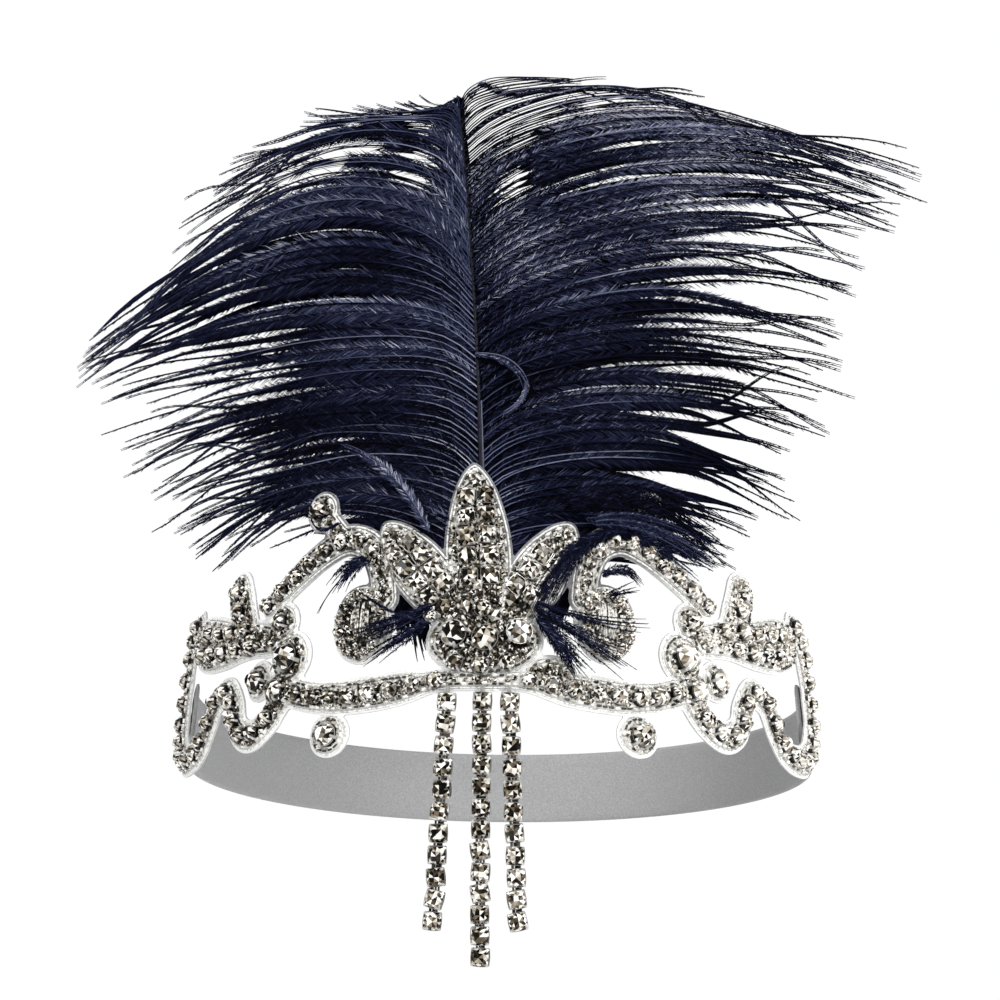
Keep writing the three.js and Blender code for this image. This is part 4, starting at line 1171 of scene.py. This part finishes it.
def barb_lines(side_name, rng, share_of_barbs=1.0, behind=0.0):
    """Centre lines of the barbs of one side, (barbs, stations, 3), and where each leaves the quill."""
    side, rows, look = SIDES[side_name], LOCKS[side_name], PLUME_SIDES[side_name]
    numbers = np.arange(len(rows))
    crowd = np.cumsum(np.concatenate([[0], (rows[1:, BARBS] + rows[:-1, BARBS]) / 2]))
    count = int(crowd[-1] * share_of_barbs)
    spots = (np.arange(count) + rng.uniform(-0.3, 0.3, count)) / (count - 1) * crowd[-1]
    place = np.interp(spots, crowd, numbers)
    columns = [np.interp(place, numbers, column) for column in rows.T]
    leaves, lift = columns[LEAVES], look["lift"]
    lock = np.round(place + rng.normal(0, 0.12, count)).astype(int).clip(0, len(rows) - 1)
    tuft = np.cumsum(rng.random(count) < 0.4)

    def together(size):
        return rng.normal(0, size, tuft[-1] + 1)[tuft]

    def alone(size):
        return rng.normal(0, size, count)

    length = 1 + together(0.035) + alone(0.045) - 0.02
    waver = smoothstep(0.1, 0.8, columns[REACH])
    reach = np.minimum(columns[REACH] * length, FURTHEST)
    tip = columns[TIP] + waver * (together(0.014) + alone(0.01))
    arch = columns[ARCH] + waver * alone(0.008) - 1.5 * lift
    start = quill_at(leaves)
    start[:, 2] += lift * PLUME_HEIGHT
    u = np.linspace(0, 1, BARB_STATIONS)[None]
    x = bezier(start[:, 0], *(side * far * PLUME_HALF_WIDTH for far in (columns[BEND_REACH], reach)), u)
    z = bezier(start[:, 2], *(QUILL_ROOT[2] + high * PLUME_HEIGHT for high in (arch, tip)), u)
    stray = rng.random(count) < 0.38
    lock_pull = mix(*look["pull"], smoothstep(0.55, 0.75, leaves)) * columns[GATHER]
    for group, pull, begin in ((lock, lock_pull, 0.32), (tuft, np.full(count, 0.5), 0.5)):
        amount = np.where(stray, 0.15 * pull, pull)[:, None] * smoothstep(begin, 0.85, u)
        x, z = gathered(x, group, amount), gathered(z, group, amount)
    sway = rng.uniform(0, 2 * math.pi, (count, 1))
    calm = smoothstep(0, 0.75, reach)
    z += (calm * alone(0.7 * MM))[:, None] * np.sin(4 * u + sway) * u
    z += (calm * alone(0.4 * MM))[:, None] * np.sin(10 * u + 2 * sway) * smoothstep(0.3, 0.7, u)
    z += (calm * alone(1.6 * MM))[:, None] * smoothstep(0.7, 1, u) * np.where(stray, 2.6, 1)[:, None]
    x += side * alone(0.5 * MM)[:, None] * u
    free = smoothstep(0.34, 0.75, leaves)[:, None]
    depth = (rng.uniform(-0.6, 0.6, count) + behind)[:, None] * mix(0.6, 1.5, free) * MM
    y = start[:, 1:2] + mix(1, FREE_HUG, free) * head_curve(x) + (z - start[:, 2:3]) * PLUME_LEAN
    y += depth * smoothstep(0, 0.15, u)
    y += mix(0.3, 2.5, free) * MM * alone(0.5)[:, None] * u ** 2
    root = quill_at(leaves - HOOK / PLUME_HEIGHT)
    line = np.stack([x, y, z], -1)
    line += (root - line[:, 0])[:, None] * np.exp(-((u / 0.06) ** 1.3))[..., None]
    return line, leaves


def blotches(points):
    """Slow changes of shade over the plume, from -1 to 1."""
    x, z = points[..., 0] / MM, points[..., 2] / MM
    return (np.sin(x / 9 + 2 * np.sin(z / 17)) + np.sin(z / 6.5 + 1.7 * np.sin(x / 13) + 1)) / 2


def between(value, start, full, last, end):
    """0 up to the start, 1 from full to last, and 0 again from the end on."""
    return smoothstep(start, full, value) * (1 - smoothstep(last, end, value))


WEB_FLAT = 0.06

# Where the plume is thin: from and to along the quill, from and to along the barb, how thin
THIN = {
    "left": [(0.72, 0.99, 0.1, 0.85, 1.0), (0.44, 0.52, 0.5, 0.9, 0.5)],
    "right": [(0.71, 0.88, 0.04, 0.44, 0.76), (0.84, 1.1, -0.1, 0.8, 2.0), (0.38, 0.6, 0.5, 0.8, 0.4)],
}


def thin_places(side_name, rng):
    """How much of the plume is missing, in streaks along the barbs. Returns a maker: for barbs that
    leave the quill at given shares of it, it makes a function of their numbers and of u along them."""
    cells = rng.random((64, 12))

    def missing(leaves, u):
        row, column = np.clip(leaves, 0, 0.999) * 62, np.clip(u, 0, 0.999) * 10
        i, j = row.astype(int), column.astype(int)
        a, b = row - i, column - j
        here, beyond = (mix(cells[i, k], cells[i + 1, k], a) for k in (j, j + 1))
        streak = 0.35 + smoothstep(0.3, 0.6, here * (1 - b) + beyond * b)
        found = np.zeros(streak.shape)
        for low, high, near, far, strength in THIN[side_name]:
            inside = between(leaves, low - 0.03, low + 0.03, high - 0.03, high + 0.03)
            inside = inside * between(u, near - 0.08, near + 0.08, far - 0.12, far + 0.12)
            found = np.maximum(found, inside * np.clip(strength * streak, 0, 1))
        return found

    return lambda leaves: lambda which, u: missing(leaves[which], u)


# A slim kite: its two ends and the two corners of its belly
KITE_FACES = np.array([(0, 1, 2), (0, 3, 1), (0, 2, 3), (1, 3, 2)])


def barbules(pile, lines, rng, spacing, longest, tone, missing=None, sheen=0.0):
    """Fine hairs on both sides of each line, as slim kites, long near the quill and short at the tip.
    The sheen lights them from the middle of the barb on."""
    length = np.linalg.norm(np.diff(lines, axis=1), axis=2).sum(1)
    which = np.repeat(np.arange(len(lines)), np.maximum(2, (length / spacing).astype(int)))
    u = rng.random(len(which)) * 0.985
    drop = 0.45 * smoothstep(0.6, 1.0, u)
    if missing:
        drop = np.maximum(drop, missing(which, u))
    keep = rng.random(len(u)) > drop
    which, u = which[keep], u[keep]
    count = len(u)
    longest, tone, sheen = (np.broadcast_to(row, len(lines))[which] for row in (longest, tone, sheen))
    place = u * (lines.shape[1] - 1)
    first = place.astype(int)
    start, after = lines[which, first], lines[which, first + 1]
    run = unit(after - start)
    base = mix(start, after, (place - first)[:, None])
    way = np.where(rng.random(count) < 0.5, 1, -1)
    aside = unit(np.cross(PLUME_FRONT, run)) * way[:, None]
    reach = longest * rng.uniform(0.6, 1.15, count) * mix(0.6, 1, smoothstep(0, 0.1, u))
    reach *= 1 - 0.76 * smoothstep(0.42, 0.92, u)
    angle = (rng.normal(0.5, 0.09, count) - 0.2 * smoothstep(0.6, 0.95, u))[:, None]
    out = rng.normal(0.1, 0.16, count)[:, None]
    direction = unit(run * np.cos(angle) + aside * np.sin(angle) + PLUME_FRONT * out)
    tip = base + direction * reach[:, None]
    tip[:, 2] -= 0.1 * reach
    direction = unit(tip - base)
    across = unit(np.cross(direction, PLUME_FRONT))
    through = np.cross(across, direction)
    half = mix(0.11, 0.09, smoothstep(0.3, 0.9, u))[:, None] * MM
    belly = mix(base, tip, 0.38)
    points = np.stack([base, tip, belly + across * half + through * 0.05 * MM,
                       belly - across * half + through * 0.05 * MM], 1)
    points[:, 0] -= PLUME_FRONT * 0.08 * MM
    own = rng.normal(0, 0.12, len(lines))[which]
    # Painted light: hairs that point up are lighter and those that point down darker; the sheen is a
    # painted sheen.
    tints = (tone + own + 0.13 * blotches(base) + 0.1 * np.sign(aside[:, 2]) + rng.normal(0, 0.13, count)
             - 0.25 * smoothstep(0.55, 0.95, u) + sheen * smoothstep(0.2, 0.5, u))
    pile.add(points, KITE_FACES, np.clip(tints, 0, 1))


def add_vanes(pile, lines, rng, tone, missing=None, stretch=1.0, far=0.1):
    """A slim dark web along each line, so that the plume is closed behind its hairs."""
    share = np.linspace(0, 1, lines.shape[1])[None]
    along = share ** np.broadcast_to(stretch, len(lines))[:, None]
    half = np.interp(along, [0, 0.1, 0.3, 0.55, 0.78, 1], [0.7, 1.4, 1.35, 0.8, 0.25, 0.07]) * MM
    if missing:
        half *= 1 - 0.93 * missing(np.arange(len(lines))[:, None], share)
    tones = mix((tone + rng.normal(0, 0.05, len(lines)))[:, None], far, smoothstep(0.4, 0.75, share))
    behind = lines - PLUME_FRONT * 0.6 * MM
    add_tubes(pile, behind, half, PLUME_FRONT, 4, np.clip(tones, 0, 1), flat=WEB_FLAT)


def add_shafts(pile, lines, tones, width=1.0):
    share = np.linspace(0, 1, lines.shape[1])
    radius = np.interp(share, [0, 0.1, 0.5, 0.8, 1], [0.17, 0.14, 0.14, 0.15, 0.07]) * MM * width
    add_tubes(pile, lines, radius, PLUME_FRONT, 3, tones)


def shaft_highlights_and_shade(look, leaves, rng):
    """Painted light along the barbs: a painted highlight near the quill, dark at the tips, now and then a
    painted glint far out, and past a share of the quill every second shaft dark, partly its own dark and
    partly painted shadow.
    """
    count = len(leaves)
    u = np.linspace(0, 1, BARB_STATIONS)[None]
    near = np.interp(leaves, NEAR_AT, look["near"])
    near = np.where((np.arange(count) % 2 == 0) & (leaves > look["shadow_from"]), 0.02, near)
    light = rng.random(count) < look["light"]
    far = np.where(light, rng.uniform(0.75, 0.92, count), rng.uniform(0.1, 0.5, count))
    fade = smoothstep(0.1, 0.3, u) * np.ones((count, 1))
    tones = mix((near + rng.normal(0, 0.07, count))[:, None], far[:, None], fade)
    return np.clip(mix(tones, look["tips"], smoothstep(0.5, 0.8, u)), 0, 1)


# Loose barbs and tufts of down that lie in front. Columns: where it starts, bends and ends as (along,
# up, out) in mm; how many barbs; how far they fan out at the end, in mm; their hairs in mm; shade
FLUFF = [
    # Painted shadow: a dark row a millimetre behind the next one, as its outline.
    ((-2.8, 76.5, 1.5), (7, 76, 4), (9.6, 67.6, 5), 4, 0.4, 1.3, 0.05),
    ((-2.8, 76.5, 2.5), (7.4, 75.8, 5), (9.9, 68, 6), 9, 0.6, 1.1, 0.72),
    ((-2.8, 76.6, 3), (7.8, 76.8, 5.5), (10.4, 67.6, 6.5), 3, 0.15, 0, 0.88),
    ((9.7, 69.3, 5.5), (10.8, 65, 6), (5, 61.5, 4), 7, 0.5, 0.9, 0.74),
    # Painted shadow: a dark row a millimetre behind the one above.
    ((9.7, 69.3, 4.5), (10.8, 65, 5), (5, 61.5, 3), 3, 0.4, 1.1, 0.05),
    ((-12.8, 33.3, 4), (-21, 50, 4), (-36.7, 55.7, 4), 5, 0.6, 2.8, 0.76),
    ((-27, 27, 5), (-31, 27, 6), (-34.5, 21.5, 6), 16, 1.3, 1.6, 0.42),
    ((-30.4, 25.3, 6), (-36.2, 20.9, 6), (-39, 15.1, 6), 2, 0.1, 0, 0.1),
    ((-36, 37, 4), (-41, 34, 5), (-43, 37.5, 5), 5, 0.5, 0.9, 0.3),
    ((-39, 39, 5), (-43, 38, 5), (-46.5, 41.5, 5), 3, 0.9, 0.7, 0.15),
    ((-11.1, 11, 6), (-20.1, 12.9, 6.8), (-27.7, 19.6, 6.5), 3, 0.3, 1.2, 0.45),
    ((-11.7, 15, 5), (-18.8, 10.7, 6.8), (-27, 8.5, 6.5), 11, 1.9, 1.7, 0.42),
    ((-12.4, 11.1, 5), (-17.5, 8, 6.8), (-23.8, 4, 6.5), 11, 1.7, 1.5, 0.4),
    ((-14.5, 28, 1), (-20, 20, 1), (-16.5, 9.5, 1), 26, 2.4, 3, 0.12),
    ((-13.5, 22, 1), (-17, 14, 1), (-14, 5, 1), 14, 1.4, 2, 0.15),
    ((-17, 25, 0.8), (-21.5, 19, 0.8), (-18.5, 10, 0.8), 16, 2, 2.6, 0.12),
    ((20, 41, 5), (38, 46, 8), (57, 35, 7.5), 24, 3, 2.8, 0.3),
    ((26, 36, 6), (38, 39, 8), (56, 31, 7), 12, 2.2, 1.5, 0.6),
    ((32.8, 34.7, 5), (19, 33, 6.5), (12, 13.5, 5), 26, 1.3, 2, 0.4),
    ((26, 37.5, 4), (39.5, 37, 6), (54, 30.5, 6), 26, 3, 2.6, 0.5),
    ((28, 34, 4), (42, 34, 6), (57.5, 29, 6), 8, 1, 1.5, 0.3),
    ((20, 31, 1), (16.5, 23, 1), (13, 13, 1), 28, 2.6, 3, 0.12),
    ((22.5, 29, 0.8), (19, 20, 0.8), (15.5, 12, 0.8), 18, 2.2, 2.6, 0.12),
    ((-12, 30, 0.8), (-22, 38, 0.8), (-33, 36, 0.8), 22, 3, 3, 0.12),
    ((12, 15, 5), (23.2, 8.4, 6.8), (33, 7, 6.8), 6, 2, 1.3, 0.42),
    ((12, 13.5, 5), (23.2, 6, 6.8), (30, 1, 6.8), 6, 1.8, 1.2, 0.35),
    ((12, 12.8, 5), (16.6, 6, 6.5), (21, 0.5, 6.5), 14, 2, 1.8, 0.42),
    ((12, 16, 5), (23.3, 11.5, 6.8), (37.3, 12.5, 6.8), 4, 0.8, 0.9, 0.3),
    ((12, 13.5, 5), (16.6, 9.4, 6), (19.9, -1.3, 6), 4, 0.3, 0.6, 0.15),
    ((27, 23.3, 5.5), (32.2, 27, 6.5), (35.5, 22.8, 6.5), 9, 0.8, 1.5, 0.4),
    ((28, 18.5, 6), (31, 19.8, 6.5), (34.7, 21, 6.5), 4, 0.6, 1, 0.3),
]


def add_fluff(pile, rng):
    """The loose barbs of the chart, with hairs, and webs for the long dark ones."""
    for start, bend, end, count, fan, hair, tone in FLUFF:
        spread = rng.normal(0, 1, (count, 2))
        spread[0] = 0
        ends = []
        for place, share in ((start, 0.3), (bend, 0.6), (end, 1)):
            where = np.column_stack([spread * fan * share, rng.uniform(-0.4, 0.4, count)]) + place
            ends.append(on_head(*(where.T * MM)))
        lines = bezier(*ends, np.linspace(0, 1, 14)[None, :, None])
        add_shafts(pile, lines, np.clip(tone + rng.normal(0, 0.12, count), 0, 1), 0.9)
        if tone < 0.2 and hair > 1:
            add_vanes(pile, lines, rng, 0.02)
        if hair:
            barbules(pile, lines, rng, 0.24 * MM, hair * MM, tone)


def plume_side(side_name, rng):
    """The barbs of one side: two pieces in front, and one with the rear barbs and all the webs."""
    look = PLUME_SIDES[side_name]
    front, leaves = barb_lines(side_name, rng)
    back, back_leaves = barb_lines(side_name, rng, 0.6, behind=2.0)
    missing = thin_places(side_name, rng)
    # Painted highlights and glints on the shafts, and painted shadow on every second one where the side
    # has it.
    tones = shaft_highlights_and_shade(look, leaves, rng)
    level = np.interp(leaves, HAIRS_AT, look["hairs"])
    sheen = np.interp(leaves, SHEEN_AT, look["sheen"])
    hair = 4.2 * MM * (1 - 0.7 * smoothstep(0.84, 0.93, leaves))
    hair *= 1 - look["shorter"] * smoothstep(0.5, 0.65, leaves)
    piles = {"low": Pile(), "high": Pile(), "behind": Pile()}
    for part, chosen in (("low", leaves < LOW_BELOW), ("high", leaves >= LOW_BELOW)):
        lines = front[chosen]
        add_shafts(piles[part], lines + PLUME_FRONT * look["before"] * MM, tones[chosen], look["width"])
        barbules(piles[part], lines, rng, 0.135 * MM, hair[chosen], level[chosen],
                 missing(leaves[chosen]), sheen[chosen])
    behind = piles["behind"]
    rear = back - PLUME_FRONT * 1.1 * MM
    add_shafts(behind, rear, np.full(len(back), 0.45))
    low, high, most = look["dense"]
    for lines, roots, tone, far in ((front, leaves, 0.05, 0), (back, back_leaves, 0.03, 0.1)):
        stretch = mix(1, most, between(roots, low - 0.05, low + 0.03, high - 0.03, high + 0.05))
        add_vanes(behind, lines, rng, tone, missing(roots), stretch, look["web"] - far)
    barbules(behind, rear, rng, 0.3 * MM, 4.6 * MM, 0.42, missing(back_leaves))
    for part, pile in piles.items():
        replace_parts(pile.make(f"plume_{side_name}_{part}", "feather", FEATHER), "plume")


def plume():
    """Both sides, the quill, the web behind it with a painted highlight along the quill's side, and the
    loose barbs.
    """
    for index, side_name in enumerate(SIDES):
        plume_side(side_name, np.random.default_rng(60 + index))
    pile = Pile()
    up = np.linspace(-0.01, QUILL_END + 0.03, 60)
    radius = np.interp(up, [0, 0.38, 0.45, 1], [0.95, 0.7, 0.45, 0.16]) * MM
    add_tubes(pile, quill_at(up)[None] + PLUME_FRONT * 0.5 * MM, radius, PLUME_FRONT, sides=8)
    pile.make("plume_quill", "quill", QUILL, smooth=True)
    pile = Pile()
    up = np.linspace(0.02, 0.93, 50)
    web = np.interp(up, [0, 0.1, 0.8, 1], [0.6, 2.4, 1.6, 0.4]) * MM
    add_tubes(pile, quill_at(up)[None] - PLUME_FRONT * 0.9 * MM, web, PLUME_FRONT, 4, 0.05, flat=WEB_FLAT)
    # Painted highlight: a thin light line along the side of the quill.
    up = np.linspace(0.2, 0.44, 20)
    edge = quill_at(up) + PLUME_FRONT * 1.1 * MM + np.array([0.5 * MM, 0, 0])
    add_tubes(pile, edge[None], 0.13 * MM, PLUME_FRONT, sides=4, tints=0.86)
    add_fluff(pile, np.random.default_rng(70))
    pile.make("plume_loose", "feather", FEATHER)


# Setting: pale floor, soft lights, camera
FLOOR_RADIUS = 0.7
FLOOR_HEIGHT = -0.16
FLOOR_SIDES = 64


def floor():
    mesh = bpy.data.meshes.new("floor")
    rim = ring_points(FLOOR_SIDES, FLOOR_RADIUS, FLOOR_HEIGHT)
    mesh.from_pydata(rim.tolist(), [], [list(range(FLOOR_SIDES))])
    mesh.materials.append(shader("floor_paper", Roughness=0.9, Base_Color=(0.85, 0.85, 0.845, 1))[0])
    piece = bpy.data.objects.new("floor", mesh)
    bpy.context.scene.collection.objects.link(piece)


def light(name, place, aim, size, power):
    data = bpy.data.lights.new(name, "AREA")
    data.size = size
    data.energy = power
    lamp = bpy.data.objects.new(name, data)
    lamp.location = place
    lamp.rotation_euler = (Vector(aim) - Vector(place)).to_track_quat("-Z", "Y").to_euler()
    bpy.context.scene.collection.objects.link(lamp)


# Where the camera stands, the angles between which the white field behind the object fades, and
# where each lamp stands, what it aims at, its size and its power
CAMERA_AWAY = 1.2
CAMERA_AZIMUTH = 2.5 * DEGREE
CAMERA_HEIGHT = 58.7 * MM
CAMERA_LENS = 172.8
FIELD_EDGE = 16 * DEGREE
FIELD_FULL = 11 * DEGREE
LAMPS = {
    "key": ((0.7, -1.2, 0.8), (0, 0, 0.05), 0.6, 15),
    "fill": ((-0.9, -1.0, 0.5), (0, 0, 0.05), 0.6, 8),
    "top": ((0.0, -0.2, 1.3), (0, 0, 0.05), 0.8, 8),
    "low": ((0.7, -0.12, -0.12), (-0.05, 0.03, -0.03), 0.15, 2.2),
    "back": ((-0.5, 1.1, 0.7), (0, 0, 0.05), 0.8, 6),
}


def camera():
    data = bpy.data.cameras.new("camera")
    data.lens = CAMERA_LENS
    data.sensor_width = 36
    view = bpy.data.objects.new("camera", data)
    view.location = (
        CAMERA_AWAY * math.sin(CAMERA_AZIMUTH), -CAMERA_AWAY * math.cos(CAMERA_AZIMUTH), CAMERA_HEIGHT,
    )
    view.rotation_euler = (math.pi / 2, 0, CAMERA_AZIMUTH)
    bpy.context.scene.collection.objects.link(view)
    bpy.context.scene.camera = view


def studio():
    """Soft room light, with a bright white field behind the object as the camera sees it."""
    world = bpy.data.worlds.new("studio")
    world.use_nodes = True
    tree = world.node_tree
    where = node(tree, "ShaderNodeTexCoord").outputs["Generated"]
    away = (-math.sin(CAMERA_AZIMUTH), math.cos(CAMERA_AZIMUTH), 0)
    behind = node(tree, "ShaderNodeVectorMath", {0: where, 1: away}, operation="DOT_PRODUCT")
    strength = node(tree, "ShaderNodeMapRange", {
        "Value": behind.outputs["Value"],
        "From Min": math.cos(FIELD_EDGE), "From Max": math.cos(FIELD_FULL), "To Min": 0.3, "To Max": 1.02,
    })
    background = tree.nodes["Background"]
    background.inputs["Color"].default_value = (1, 1, 1, 1)
    tree.links.new(strength.outputs["Result"], background.inputs["Strength"])
    bpy.context.scene.world = world
    bpy.context.scene.view_settings.view_transform = "Standard"
    for name, row in LAMPS.items():
        light(name, *row)


camera()
studio()
floor()
elastic()
lace_backing()
lace_ground()
lace_border()
make_stones()
seed_beads()
satin_stitches()
for number, (chain_name, chain_row) in enumerate(CHAINS.items()):
    hanging_chain(chain_name, *chain_row, 51 + number)
plume()
